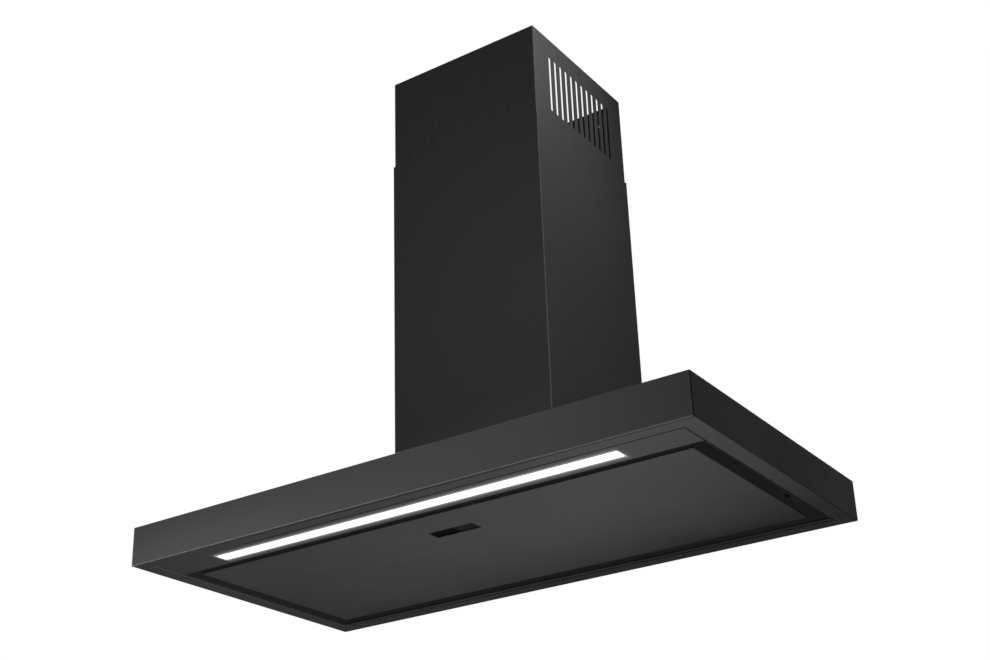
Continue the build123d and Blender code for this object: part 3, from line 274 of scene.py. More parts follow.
dustLook = {
    "upSpan": (0.55, 0.98),        # of the normal's upward part
    "patch": (6.0, 0.65),
    "patchSpan": (0.3, 0.75, 0.25, 1.0),       # the last two are the least and the most dust
}


def buildSettledDust(look):
    # dust that lies on whatever faces up
    group, given, out = newGroup("settledDust", {"Amount": 0.3, "Patch": 18.0}, ("Mask",))
    up = rangeNode(group, partsOf(group, objectNormal(group))["Z"], *look["upSpan"])
    noise = noiseNode(group, objectPlace(group), given["Patch"], *look["patch"])
    mask = mathNode(group, "MULTIPLY", up, rangeNode(group, noise, *look["patchSpan"]))
    join(group, mathNode(group, "MULTIPLY", mask, given["Amount"]), out["Mask"])
    return group


spangleLook = {
    "grain": (2.0, 0.6),
    "grainTone": 0.35,             # shares of the tone
    "crystalTone": 0.65,
    "grainHeight": 0.5,
}


def buildZincSpangle(look):
    # frost-like crystals of a zinc bath
    group, given, out = newGroup("zincSpangle", {"Crystal": 130.0, "Grain": 700.0},
                                 ("Tone", "Height"))
    place = objectPlace(group)
    cells = group.nodes.new("ShaderNodeTexVoronoi")
    feed(group, cells, {"Vector": place, "Scale": given["Crystal"]})
    split = group.nodes.new("ShaderNodeSeparateColor")
    join(group, cells.outputs["Color"], split.inputs[0])
    fine = noiseNode(group, place, given["Grain"], *look["grain"])
    crystal = mathNode(group, "MULTIPLY", split.outputs[0], look["crystalTone"])
    tone = mathNode(group, "MULTIPLY_ADD", fine, look["grainTone"], crystal)
    height = mathNode(group, "MULTIPLY_ADD", fine, look["grainHeight"], cells.outputs["Distance"])
    join(group, tone, out["Tone"])
    join(group, height, out["Height"])
    return group


linesLook = {
    "lines": (3.0, 0.6),
    "toneSpan": (0.3, 0.7),
}


def buildDrawnLines(look):
    # fine lines left by rolling, brushing or an extrusion die
    group, given, out = newGroup("drawnLines", {"Stretch": (40.0, 1500.0, 1500.0)},
                                 ("Tone", "Height"))
    scaled = vectorNode(group, "MULTIPLY", objectPlace(group), given["Stretch"])[0]
    lines = noiseNode(group, scaled, 1.0, *look["lines"])
    join(group, rangeNode(group, lines, *look["toneSpan"]), out["Tone"])
    join(group, lines, out["Height"])
    return group


skinLook = {
    "grain": (2.0, 0.55),
    "flow": (2.0, 0.5),
    "flowHeight": 0.3,
    "toneSpan": (0.3, 0.7),
}


def buildMouldSkin(look):
    # spark-eroded texture of a moulding tool, with faint flow marks
    group, given, out = newGroup("mouldSkin", {"Grain": 1400.0, "Flow": 22.0}, ("Height", "Tone"))
    place = objectPlace(group)
    fine = noiseNode(group, place, given["Grain"], *look["grain"])
    flow = noiseNode(group, place, given["Flow"], *look["flow"])
    join(group, mathNode(group, "MULTIPLY_ADD", flow, look["flowHeight"], fine), out["Height"])
    join(group, rangeNode(group, flow, *look["toneSpan"]), out["Tone"])
    return group


powderGrain = buildPowderGrain(powderLook)
edgeWear = buildEdgeWear(edgeLook)
paintedFoldLight = buildPaintedFoldLight(paintedFoldLook)
paintedJointLight = buildPaintedJointLight(paintedJointLook)
settledDust = buildSettledDust(dustLook)
zincSpangle = buildZincSpangle(spangleLook)
drawnLines = buildDrawnLines(linesLook)
mouldSkin = buildMouldSkin(skinLook)
print("node groups built")


def newFinish(name):
    material = bpy.data.materials.new(name)
    material.use_nodes = True
    tree = material.node_tree
    return material, tree, tree.nodes["Principled BSDF"]


def useGroup(tree, group, **values):
    node = tree.nodes.new("ShaderNodeGroup")
    node.node_tree = group
    for label, value in values.items():
        node.inputs[label].default_value = value
    return node.outputs


def useWear(tree, look):
    return useGroup(tree, edgeWear, Radius=look["wearRadius"], Breakup=look["wearBreakup"],
                    Amount=look["wear"])["Mask"]


def useDust(tree, look):
    return useGroup(tree, settledDust, Amount=look["dust"], Patch=look["dustPatch"])["Mask"]


def useSkin(tree, look):
    return useGroup(tree, mouldSkin, Grain=look["grain"], Flow=look["flow"])


def blendColours(tree, mask, first, second):
    node = tree.nodes.new("ShaderNodeMix")
    node.data_type = "RGBA"
    feed(tree, node, {"Factor": mask, "A": first, "B": second})
    return node.outputs["Result"]


def between(tree, mask, first, last):
    # the first value where the mask is 0, the last where it is 1
    return rangeNode(tree, mask, 0.0, 1.0, first, last)


def raisedBy(tree, shader, height, depth):
    bump = tree.nodes.new("ShaderNodeBump")
    feed(tree, bump, {"Strength": 1.0, "Distance": depth, "Height": height})
    join(tree, bump.outputs["Normal"], shader.inputs["Normal"])


def paint(material, *names):
    for name in names:
        mesh = nodes[name].data
        mesh.materials.clear()
        mesh.materials.append(material)


blackCoat = {
    "colour": (0.0165, 0.0165, 0.0168),
    "speckColour": (0.036, 0.036, 0.0365),
    "speckShare": 0.8,
    "wornColour": (0.09, 0.09, 0.09),
    # painted highlight on the folds that face foldFacing
    "foldHighlightColour": (0.1, 0.1, 0.101),
    "foldFacing": (0.0, -0.707, -0.707),
    "fold": 0.7,
    "foldBreakup": 60.0,
    # painted shade in the joints, behind the lower bend and along the upright corners, and a
    # painted highlight on the joint's cut edge
    "paintedShadeColour": (0.005, 0.005, 0.005),
    "paintedEdgeHighlightColour": (0.05, 0.05, 0.05),
    "dustColour": (0.13, 0.125, 0.115),
    "gloss": 0.008,                # specular level
    "smooth": 0.40,                # roughness of the smoothest patches
    "rough": 0.50,
    "grain": 850.0,
    "peel": 170.0,
    "drift": 6.0,
    "depth": 0.00006,
    "wear": 0.35,
    "wearRadius": 0.0012,
    "wearBreakup": 90.0,
    "dust": 0.1,
    "dustPatch": 14.0,
}


def coatFinish(name, coat):
    material, tree, shader = newFinish(name)
    grain = useGroup(tree, powderGrain, Grain=coat["grain"], Peel=coat["peel"],
                     Drift=coat["drift"])
    # painted highlight on the folds
    fold = useGroup(tree, paintedFoldLight, Facing=coat["foldFacing"], Amount=coat["fold"],
                    Breakup=coat["foldBreakup"])
    speck = mathNode(tree, "MULTIPLY", grain["Speck"], coat["speckShare"])
    colour = blendColours(tree, speck, coat["colour"], coat["speckColour"])
    colour = blendColours(tree, fold["Mask"], colour, coat["foldHighlightColour"])
    colour = blendColours(tree, useWear(tree, coat), colour, coat["wornColour"])
    colour = blendColours(tree, useDust(tree, coat), colour, coat["dustColour"])
    if coat.get("joint"):
        # painted shade along the joint, with a painted highlight on its cut edge to the left
        lipJointLight = useGroup(tree, paintedJointLight, **coat["joint"])
        colour = blendColours(tree, lipJointLight["Mask"], colour, coat["paintedShadeColour"])
        colour = blendColours(tree, lipJointLight["PaintedHighlight"], colour, coat["paintedEdgeHighlightColour"])
    if coat.get("foldShadow"):
        # thin shadow just behind the lower bend, and along the upright corners
        shadow = useGroup(tree, paintedJointLight, **coat["foldShadow"])
        colour = blendColours(tree, shadow["Mask"], colour, coat["paintedShadeColour"])
        corner = useGroup(tree, paintedFoldLight, Facing=coat["cornerFacing"],
                          Amount=coat["cornerShade"], Breakup=coat["foldBreakup"])
        colour = blendColours(tree, corner["Mask"], colour, coat["paintedShadeColour"])
    if coat.get("insideLevels"):
        # the walls of the air gap and the tray above it, from the sheet's lower face upwards: the
        # walls get a painted shade darker than the coat, the tray a flat colour of its own
        height = partsOf(tree, objectPlace(tree))["Z"]
        wallLevel, trayLevel = coat["insideLevels"]
        wall = rangeNode(tree, height, wallLevel, wallLevel + coat["levelFade"])
        tray = rangeNode(tree, height, trayLevel - coat["levelFade"], trayLevel)
        colour = blendColours(tree, wall, colour, coat["paintedWallShadeColour"])
        colour = blendColours(tree, tray, colour, coat["trayColour"])
        # a painted glow on the walls, standing in for light that scatters to and fro in the gap
        paintedGapGlow = blendColours(tree, wall, (0.0, 0.0, 0.0), coat["paintedGapGlow"])
        feed(tree, shader, {"Emission Color": paintedGapGlow, "Emission Strength": 1.0})
    feed(tree, shader, {
        "Base Color": colour,
        "Roughness": between(tree, grain["Tone"], coat["smooth"], coat["rough"]),
        "Specular IOR Level": coat["gloss"],
    })
    raisedBy(tree, shader, grain["Height"], coat["depth"])
    return material, tree, shader


# painted shade lines along the lip's joint and behind its bend, with a painted highlight at the
# joint's left; the shadow has no sides and no rear
lipJoint = {"Half X": 0.4246, "Front Y": -0.4546, "Rear Y": -0.0254, "Width": 0.0018,
            "From X": -0.36, "To X": -0.2}
bendShadow = {"Half X": 1.0, "Front Y": -0.4762, "Rear Y": 1.0, "Width": 0.0022,
              "From X": -0.38, "To X": -0.1}
canopyCoat = dict(blackCoat, joint=lipJoint, foldShadow=bendShadow,
                  cornerFacing=(0.707, -0.707, 0.0), cornerShade=0.9)
# the chimney's painted fold highlight lies on its near upright bends
chimneyCoat = dict(blackCoat, foldFacing=(0.707, -0.707, 0.0), fold=0.55)
# painted shade and a painted glow on the walls of the air gap, and a flat colour for the tray
# above
gapShadeAndGlow = {
    "paintedWallShadeColour": (0.0065, 0.0065, 0.0065),
    "trayColour": (0.018, 0.018, 0.018),
    "paintedGapGlow": (0.0095, 0.0095, 0.0095),
    "levelFade": 0.002,
}
panelCoat = dict(blackCoat, **gapShadeAndGlow, fold=0.0, wear=0.12, insideLevels=(-0.2765, -0.20))
hingeCoat = dict(panelCoat, wear=0.3, insideLevels=(-0.28, -0.20))
paint(coatFinish("canopyPowderCoat", canopyCoat)[0], "canopy_shell")
paint(coatFinish("chimneyPowderCoat", chimneyCoat)[0],
      "lower_chimney", "upper_chimney", "upper_wall_bracket")
paint(coatFinish("panelPowderCoat", panelCoat)[0], "suction_panel")
paint(coatFinish("hingePowderCoat", hingeCoat)[0], "hinge_arms", "hinge_brackets")

# the liner has the same coat, with a painted glow close to the lamp that stands in for light
# leaving the lens sideways
linerCoat = dict(blackCoat, **gapShadeAndGlow, dust=0.25, fold=0.0, wear=0.15, joint=lipJoint,
                 insideLevels=(-0.2765, -0.2475))
paintedLampGlow = {
    "halfLength": 0.325,
    "middle": -0.428,              # y of the lamp's middle line
    "halfWidth": 0.010,
    "fullBelow": -0.2776,          # z up to which the spill is whole, and where it has ended
    "noneAbove": -0.2768,
    "nearReach": 0.0026,           # how far the bright and the faint part carry
    "farReach": 0.009,
    "farShare": 0.04,
    "endSteepness": 2.6,           # the spill dies sooner past the lamp's ends
    "colour": (0.95, 0.97, 1.0),
    "strength": 0.66,
}


def pastEdge(tree, offset, half):
    # how far a place lies beyond a strip's edge, 0 within the strip
    beyond = mathNode(tree, "SUBTRACT", mathNode(tree, "ABSOLUTE", offset), half)
    return mathNode(tree, "MAXIMUM", beyond, 0.0)


def fadeOver(tree, distance, reach):
    return mathNode(tree, "EXPONENT", mathNode(tree, "DIVIDE", distance, -reach))


def paintedLampGlowMask(tree, spill):
    place = partsOf(tree, objectPlace(tree))
    pastX = pastEdge(tree, place["X"], spill["halfLength"])
    pastX = mathNode(tree, "MULTIPLY", pastX, spill["endSteepness"])
    offY = mathNode(tree, "SUBTRACT", place["Y"], spill["middle"])
    distance = distanceNode(tree, pastX, pastEdge(tree, offY, spill["halfWidth"]))
    near = fadeOver(tree, distance, spill["nearReach"])
    far = fadeOver(tree, distance, spill["farReach"])
    fade = mathNode(tree, "MULTIPLY_ADD", far, spill["farShare"], near)
    low = rangeNode(tree, place["Z"], spill["fullBelow"], spill["noneAbove"], 1.0, 0.0)
    return mathNode(tree, "MULTIPLY", fade, low)


linerFinish, linerTree, linerShader = coatFinish("linerPowderCoat", linerCoat)
linerGlow = linerShader.inputs["Emission Color"]
# painted glow on the liner around the lamp
paintedGlowMask = paintedLampGlowMask(linerTree, paintedLampGlow)
paintedGlowColour = tuple(paintedLampGlow["strength"] * value for value in paintedLampGlow["colour"])
gapGlow = linerGlow.links[0].from_socket
join(linerTree, blendColours(linerTree, paintedGlowMask, gapGlow, paintedGlowColour), linerGlow)
paint(linerFinish, "inner_liner")
print("powder coat done")


zincSheet = {
    "dark": (0.33, 0.345, 0.36),
    "light": (0.56, 0.575, 0.59),
    "smooth": 0.32,
    "rough": 0.55,
    "crystal": 120.0,
    "grain": 800.0,
    "depth": 0.00002,
    "dust": 0.35,
    "dustPatch": 16.0,
    "dustColour": (0.42, 0.40, 0.37),
    "dustMetallic": 0.3,           # how metallic the sheet still looks under dust
}


def zincFinish(name, sheet):
    material, tree, shader = newFinish(name)
    spangle = useGroup(tree, zincSpangle, Crystal=sheet["crystal"], Grain=sheet["grain"])
    dust = useDust(tree, sheet)
    colour = blendColours(tree, spangle["Tone"], sheet["dark"], sheet["light"])
    feed(tree, shader, {
        "Base Color": blendColours(tree, dust, colour, sheet["dustColour"]),
        "Roughness": between(tree, spangle["Tone"], sheet["rough"], sheet["smooth"]),
        "Metallic": between(tree, dust, 1.0, sheet["dustMetallic"]),
    })
    raisedBy(tree, shader, spangle["Height"], sheet["depth"])
    return material


dullZinc = dict(zincSheet, dark=(0.17, 0.175, 0.18), light=(0.30, 0.305, 0.31),
                smooth=0.45, rough=0.62)
paint(zincFinish("zincSheet", zincSheet),
      "blower_box", "wall_hooks", "motor_bracket", "impeller_hub")
paint(zincFinish("dullZincSheet", dullZinc), "canopy_stiffener", "panel_stiffeners")

platedSteel = {
    "dark": (0.42, 0.42, 0.41),
    "light": (0.68, 0.68, 0.66),
    "wearColour": (0.8, 0.8, 0.78),
    "wear": 0.6,
    "wearRadius": 0.0004,
    "wearBreakup": 900.0,
    "smooth": 0.24,
    "rough": 0.4,
    "grain": 1600.0,
    "flow": 260.0,
    "depth": 0.00001,
}


def wornMetal(tree, shader, metal, tone, height):
    colour = blendColours(tree, tone, metal["dark"], metal["light"])
    feed(tree, shader, {
        "Base Color": blendColours(tree, useWear(tree, metal), colour, metal["wearColour"]),
        "Roughness": between(tree, tone, metal["rough"], metal["smooth"]),
        "Metallic": 1.0,
    })
    raisedBy(tree, shader, height, metal["depth"])


def platedFinish(name, steel):
    material, tree, shader = newFinish(name)
    skin = useSkin(tree, steel)
    wornMetal(tree, shader, steel, skin["Tone"], skin["Height"])
    return material


platedSteelFinish = platedFinish("platedSteel", platedSteel)
paint(platedSteelFinish, "liner_standoffs", "profile_nuts", "hinge_pins",
      "blower_screws", "collar_screws", "cover_screws", "motor_shaft", "impeller_clip")
dullPlate = dict(platedSteel, dark=(0.15, 0.15, 0.148), light=(0.24, 0.24, 0.236), wear=0.3,
                 wearColour=(0.4, 0.4, 0.39), smooth=0.45, rough=0.6)
paint(platedFinish("dullPlate", dullPlate), "striker_plates")
# the screws that show in the air gap are blackened
blackenedSteel = dict(platedSteel, dark=(0.014, 0.014, 0.015), light=(0.03, 0.03, 0.031),
                      wear=0.1, wearColour=(0.12, 0.12, 0.12), smooth=0.5, rough=0.65)
blackenedSteelFinish = platedFinish("blackenedSteel", blackenedSteel)
paint(blackenedSteelFinish, "liner_screws")
print("zinc and plated steel done")


# lamp channel, filter frames and filter mesh
channelAluminium = {
    "dark": (0.62, 0.62, 0.63),
    "light": (0.82, 0.82, 0.83),
    "wearColour": (0.9, 0.9, 0.91),
    "wear": 0.5,
    "wearRadius": 0.0006,
    "wearBreakup": 300.0,
    "stretch": (30.0, 2200.0, 2200.0),
    "smooth": 0.22,
    "rough": 0.42,
    "depth": 0.000012,
}


def aluminiumFinish(name, metal):
    material, tree, shader = newFinish(name)
    lines = useGroup(tree, drawnLines, Stretch=metal["stretch"])
    wornMetal(tree, shader, metal, lines["Tone"], lines["Height"])
    return material


frameAluminium = dict(channelAluminium, stretch=(900.0, 900.0, 900.0), smooth=0.3, rough=0.5)
paint(aluminiumFinish("channelAluminium", channelAluminium), "led_profile")
paint(aluminiumFinish("filterFrameAluminium", frameAluminium),
      "grease_filter_frame_left", "grease_filter_frame_right")

expandedMesh = {
    "pitchX": 0.0032,              # one diamond of the stretched foil
    "pitchY": 0.0021,
    "strand": 0.34,                # share of a diamond that is metal
    "strandFade": 0.06,
    "dark": (0.50, 0.50, 0.51),
    "light": (0.80, 0.80, 0.81),
    "greaseColour": (0.36, 0.30, 0.2),
    "grease": 0.25,
    "smooth": 0.28,
    "rough": 0.42,
    "grain": 900.0,
    "flow": 30.0,
    "depth": 0.0004,
}


def meshFinish(name, mesh):
    material, tree, shader = newFinish(name)
    place = partsOf(tree, objectPlace(tree))
    across = mathNode(tree, "DIVIDE", place["X"], mesh["pitchX"])
    along = mathNode(tree, "DIVIDE", place["Y"], mesh["pitchY"])
    first = mathNode(tree, "PINGPONG", mathNode(tree, "ADD", across, along), 1.0)
    second = mathNode(tree, "PINGPONG", mathNode(tree, "SUBTRACT", across, along), 1.0)
    strand = mathNode(tree, "MINIMUM", first, second)
    metal = rangeNode(tree, strand, mesh["strand"] - mesh["strandFade"],
                      mesh["strand"] + mesh["strandFade"], 1.0, 0.0)
    ridge = rangeNode(tree, strand, 0.0, mesh["strand"], 1.0, 0.0)
    skin = useSkin(tree, mesh)
    grease = mathNode(tree, "MULTIPLY", skin["Tone"], mesh["grease"])
    colour = blendColours(tree, ridge, mesh["dark"], mesh["light"])
    feed(tree, shader, {
        "Alpha": metal,
        "Base Color": blendColours(tree, grease, colour, mesh["greaseColour"]),
        "Roughness": between(tree, skin["Tone"], mesh["smooth"], mesh["rough"]),
        "Metallic": 1.0,
    })
    raisedBy(tree, shader, metal, mesh["depth"])
    return material


paint(meshFinish("expandedAluminium", expandedMesh),
      "grease_filter_mesh_left", "grease_filter_mesh_right")
print("aluminium done")


lampLens = {
    "colour": (0.92, 0.92, 0.92),
    "duskyColour": (0.88, 0.88, 0.88),
    "glow": (1.0, 1.0, 1.0),
    "strength": 1.15,
    "chipPitch": 0.65 / 36,        # 36 chips along 650 mm
    "chipDip": 0.06,               # how much less light leaves between two chips
    "dipColour": (0.8, 0.8, 0.8),
    "halfLength": 0.3235,          # the lit part, its corners rounded
    "middle": -0.428,
    "halfWidth": 0.0105,
    "corner": 0.0065,
    "fade": 0.0022,
    "dimColour": (0.16, 0.16, 0.165),
    "smooth": 0.32,
    "rough": 0.4,
    "grain": 1800.0,
    "flow": 40.0,
    "depth": 0.00001,
}


def litShare(tree, place, lens):
    pastX = pastEdge(tree, place["X"], lens["halfLength"] - lens["corner"])
    offY = mathNode(tree, "SUBTRACT", place["Y"], lens["middle"])
    pastY = pastEdge(tree, offY, lens["halfWidth"] - lens["corner"])
    reach = distanceNode(tree, pastX, pastY)
    return rangeNode(tree, reach, lens["corner"] - lens["fade"], lens["corner"], 1.0, 0.0)


def lensFinish(name, lens):
    material, tree, shader = newFinish(name)
    place = partsOf(tree, objectPlace(tree))
    turns = mathNode(tree, "MULTIPLY", place["X"], 2 * math.pi / lens["chipPitch"])
    wave = mathNode(tree, "MULTIPLY_ADD", mathNode(tree, "COSINE", turns), 0.5, 0.5)
    dip = mathNode(tree, "MULTIPLY", wave, lens["chipDip"])
    glow = blendColours(tree, dip, lens["glow"], lens["dipColour"])
    skin = useSkin(tree, lens)
    feed(tree, shader, {
        "Emission Color": blendColours(tree, litShare(tree, place, lens), lens["dimColour"], glow),
        "Emission Strength": lens["strength"],
        "Base Color": blendColours(tree, skin["Tone"], lens["colour"], lens["duskyColour"]),
        "Roughness": between(tree, skin["Tone"], lens["smooth"], lens["rough"]),
    })
    raisedBy(tree, shader, skin["Height"], lens["depth"])
    return material


paint(lensFinish("opalLens", lampLens), "led_diffuser")
print("lens done")


mouldedSkin = {
    "grain": 1500.0,
    "flow": 24.0,
    "wear": 0.3,
    "wearRadius": 0.0008,
    "wearBreakup": 200.0,
    "wornPaler": 1.8,              # a worn edge is this many times the light tone
    "wornLift": 0.02,              # and this much more
    "dust": 0.18,
    "dustPatch": 20.0,
    "dustColour": (0.3, 0.29, 0.27),
}
mouldings = {
    "blackPlastic": {"dark": (0.022, 0.022, 0.023), "light": (0.034, 0.034, 0.035),
                     "smooth": 0.42, "rough": 0.55, "depth": 0.00005},
    "greyPlastic": {"dark": (0.17, 0.175, 0.18), "light": (0.215, 0.22, 0.225),
                    "smooth": 0.4, "rough": 0.52, "depth": 0.00005},
    "whitePlastic": {"dark": (0.66, 0.66, 0.64), "light": (0.74, 0.74, 0.72),
                     "smooth": 0.34, "rough": 0.46, "depth": 0.00004},
    "softRubber": {"dark": (0.018, 0.018, 0.018), "light": (0.03, 0.03, 0.029),
                   "smooth": 0.62, "rough": 0.8, "depth": 0.00008},
    "motorEnamel": {"dark": (0.055, 0.058, 0.06), "light": (0.08, 0.083, 0.086),
                    "smooth": 0.34, "rough": 0.46, "depth": 0.00004},
    "magnetFerrite": {"dark": (0.04, 0.04, 0.041), "light": (0.07, 0.07, 0.07),
                      "smooth": 0.45, "rough": 0.62, "depth": 0.00005},
    "lightChip": {"dark": (0.75, 0.66, 0.25), "light": (0.9, 0.82, 0.4),
                  "smooth": 0.3, "rough": 0.4, "depth": 0.00002},
}
mouldedPieces = {
    "blackPlastic": ("control_housing", "power_module", "magnet_catches", "impeller",
                     "filter_handle_left", "filter_handle_right",
                     "filter_latch_left", "filter_latch_right"),
    "greyPlastic": ("led_end_caps", "scroll_housing_left", "scroll_housing_right",
                    "outlet_collar", "damper_flap_front", "damper_flap_rear",
                    "terminal_box", "terminal_lid", "cable_gland"),
    "whitePlastic": ("led_driver", "capacitor", "terminal_block"),
    "softRubber": ("motor_bushes",),
    "motorEnamel": ("motor",),
    "magnetFerrite": ("catch_magnets",),
    "lightChip": ("led_chips",),
}


def mouldingFinish(name, plastic):
    material, tree, shader = newFinish(name)
    skin = useSkin(tree, plastic)
    worn = tuple(min(1.0, value * plastic["wornPaler"] + plastic["wornLift"])
                 for value in plastic["light"])
    colour = blendColours(tree, skin["Tone"], plastic["dark"], plastic["light"])
    colour = blendColours(tree, useWear(tree, plastic), colour, worn)
    feed(tree, shader, {
        "Base Color": blendColours(tree, useDust(tree, plastic), colour, plastic["dustColour"]),
        "Roughness": between(tree, skin["Tone"], plastic["smooth"], plastic["rough"]),
    })
    raisedBy(tree, shader, skin["Height"], plastic["depth"])
    return material


for plasticName, plasticTones in mouldings.items():
    plasticFinish = mouldingFinish(plasticName, dict(mouldedSkin, **plasticTones))
    paint(plasticFinish, *mouldedPieces[plasticName])

boardSkin = {
    "rowsPerUnit": 4,              # rows that the brick texture puts into one unit
    "gap": 0.03,
    "smooth": 0.22,
    "rough": 0.34,
    "grain": 1800.0,
    "flow": 60.0,
    "depth": 0.00003,
}
controlBoard = dict(boardSkin, mask=(0.012, 0.09, 0.035), track=(0.03, 0.16, 0.07), pitch=0.0016)
lampBoard = dict(boardSkin, mask=(0.72, 0.73, 0.72), track=(0.82, 0.82, 0.8), pitch=0.003)


def boardFinish(name, board):
    material, tree, shader = newFinish(name)
    bricks = tree.nodes.new("ShaderNodeTexBrick")
    feed(tree, bricks, {
        "Vector": objectPlace(tree),
        "Scale": 1 / board["pitch"] / board["rowsPerUnit"],
        "Mortar Size": board["gap"],
        "Color1": board["mask"],
        "Color2": board["mask"],
        "Mortar": board["track"],
    })
    skin = useSkin(tree, board)
    feed(tree, shader, {
        "Base Color": bricks.outputs["Color"],
        "Roughness": between(tree, skin["Tone"], board["smooth"], board["rough"]),
    })
    raisedBy(tree, shader, bricks.outputs["Fac"], board["depth"])
    return material


paint(boardFinish("controlBoard", controlBoard), "control_board")
paint(boardFinish("lampBoard", lampBoard), "led_board")
print("mouldings and boards done")


displayGlass = {
    "colour": (0.0006, 0.0006, 0.0007),
    "smearColour": (0.0016, 0.0016, 0.0018),
    "smearScale": 60.0,
    "smear": (4.0, 0.6),               # detail and roughness of the smears
    "smearSpan": (0.35, 0.75),
    "redLight": (-0.034, -0.317),      # x, y of the standby light behind the glass
    "redCore": 0.002,                  # radius up to which it is full, and where it has ended
    "redEnd": 0.008,
    "redColour": (0.004, 0.0006, 0.001),
    "blueFrom": 0.003,                 # x where the bluish touch field starts and ends
    "blueTo": 0.020,
    "blueColour": (0.0075, 0.0092, 0.0145),
    # past the touch field the glass has a faint painted grey glow
    "paintedGreyGlowColour": (0.0072, 0.0072, 0.0078),
    "soft": 0.005,
    "gloss": 0.001,
    "smooth": 0.12,
    "smeared": 0.25,
    "depth": 0.00001,
}


def glassFinish(name, glass):
    material, tree, shader = newFinish(name)
    place = objectPlace(tree)
    spot = partsOf(tree, place)
    offX = mathNode(tree, "SUBTRACT", spot["X"], glass["redLight"][0])
    offY = mathNode(tree, "SUBTRACT", spot["Y"], glass["redLight"][1])
    distance = distanceNode(tree, offX, offY)
    red = rangeNode(tree, distance, glass["redCore"], glass["redEnd"], 1.0, 0.0)
    start, end, soft = glass["blueFrom"], glass["blueTo"], glass["soft"]
    rise = rangeNode(tree, spot["X"], start - soft, start + soft)
    fall = rangeNode(tree, spot["X"], end - soft, end + soft)
    glow = blendColours(tree, rise, (0.0, 0.0, 0.0), glass["blueColour"])
    # past the touch field, a painted grey glow
    glow = blendColours(tree, fall, glow, glass["paintedGreyGlowColour"])
    smear = noiseNode(tree, place, glass["smearScale"], *glass["smear"])
    roughness = rangeNode(tree, smear, *glass["smearSpan"], glass["smooth"], glass["smeared"])
    feed(tree, shader, {
        "Emission Color": blendColours(tree, red, glow, glass["redColour"]),
        "Emission Strength": 1.0,
        "Specular IOR Level": glass["gloss"],
        "Base Color": blendColours(tree, smear, glass["colour"], glass["smearColour"]),
        "Roughness": roughness,
    })
    raisedBy(tree, shader, smear, glass["depth"])
    return material


paint(glassFinish("displayGlass", displayGlass), "display_glass")
print("display done")


sheetCrease = 35                   # degrees, sharper bends than this stay crisp


def softenEdges(piece, angle):
    # shades folds and rounds smooth, keeps corners crisp and wide flats flat
    piece.data.shade_smooth()
    piece.data.set_sharp_from_angle(angle=math.radians(angle))
    weighted = piece.modifiers.new("flatFaces", "WEIGHTED_NORMAL")
    weighted.mode = "FACE_AREA"
    weighted.keep_sharp = True


for node in nodes.values():
    softenEdges(node, sheetCrease)
print("edges softened")


# screws: domed head, cross recess and rolled thread, in place of the plain CAD ones
screwShape = {
    # shares of the head's radius and rise
    "headRings": ((1.0, 0.0), (1.0, 0.35), (0.93, 0.66), (0.79, 0.87), (0.64, 0.97)),
    "headSteps": 24,
    "threadSteps": 12,
    "rootShare": 0.82,
    "armReach": 0.5,               # shares of the head's radius
    "armWidth": 0.13,
    "recessDepth": 0.6,            # share of the head's rise
    "recessFoot": 0.7,
    "crease": 40,                  # degrees
    "weld": 0.00001,
}
# spots are x and y, each with its mirror image on the left; seat is the z under the head,
# and headWay is 1 where the head points up and -1 where it points down
screwSets = {
    "liner_screws": {"spots": ((0.3794, -0.368), (0.3794, -0.069), (0.150, -0.368)),
                     "seat": -0.245, "headWay": -1, "radius": 0.004, "rise": 0.0024,
                     "shank": 0.002, "reach": 0.012, "pitch": 0.0008},
    "blower_screws": {"spots": ((0.1155, -0.220), (0.1155, -0.130), (0.1155, -0.040)),
                      "seat": -0.2225, "headWay": -1, "radius": 0.0045, "rise": 0.003,
                      "shank": 0.0025, "reach": 0.007, "pitch": 0.0009},
    "collar_screws": {"spots": ((0.07612, -0.1887), (0.07612, -0.1333)),
                      "seat": 0.0425, "headWay": 1, "radius": 0.0032, "rise": 0.002,
                      "shank": 0.00175, "reach": 0.0075, "pitch": 0.0008},
    "cover_screws": {"spots": ((0.1308, -0.195), (0.1308, -0.075)),
                     "seat": -0.219, "headWay": 1, "radius": 0.0035, "rise": 0.002,
                     "shank": 0.002, "reach": 0.003, "pitch": 0.0007},
}


def newCorner(work, screw, middle, x, y, height):
    # heights grow from the seat towards the top of the head
    return work.verts.new((middle[0] + x, middle[1] + y,
                           screw["seat"] + screw["headWay"] * height))


def newRing(work, screw, middle, radius, heights):
    ring = []
    for n, height in enumerate(heights):
        turn = 2 * math.pi * n / len(heights)
        ring.append(newCorner(work, screw, middle, radius * math.cos(turn),
                              radius * math.sin(turn), height))
    return ring


def newCross(work, screw, middle, reach, width, height):
    outline = []
    for quarter in range(4):
        turn = quarter * math.pi / 2
        for x, y in ((reach, -width), (reach, width), (width, width)):
            outline.append(newCorner(work, screw, middle, x * math.cos(turn) - y * math.sin(turn),
                                     x * math.sin(turn) + y * math.cos(turn), height))
    return outline


def bridge(work, first, second):
    for n in range(len(first)):
        after = (n + 1) % len(first)
        work.faces.new((first[n], first[after], second[after], second[n]))


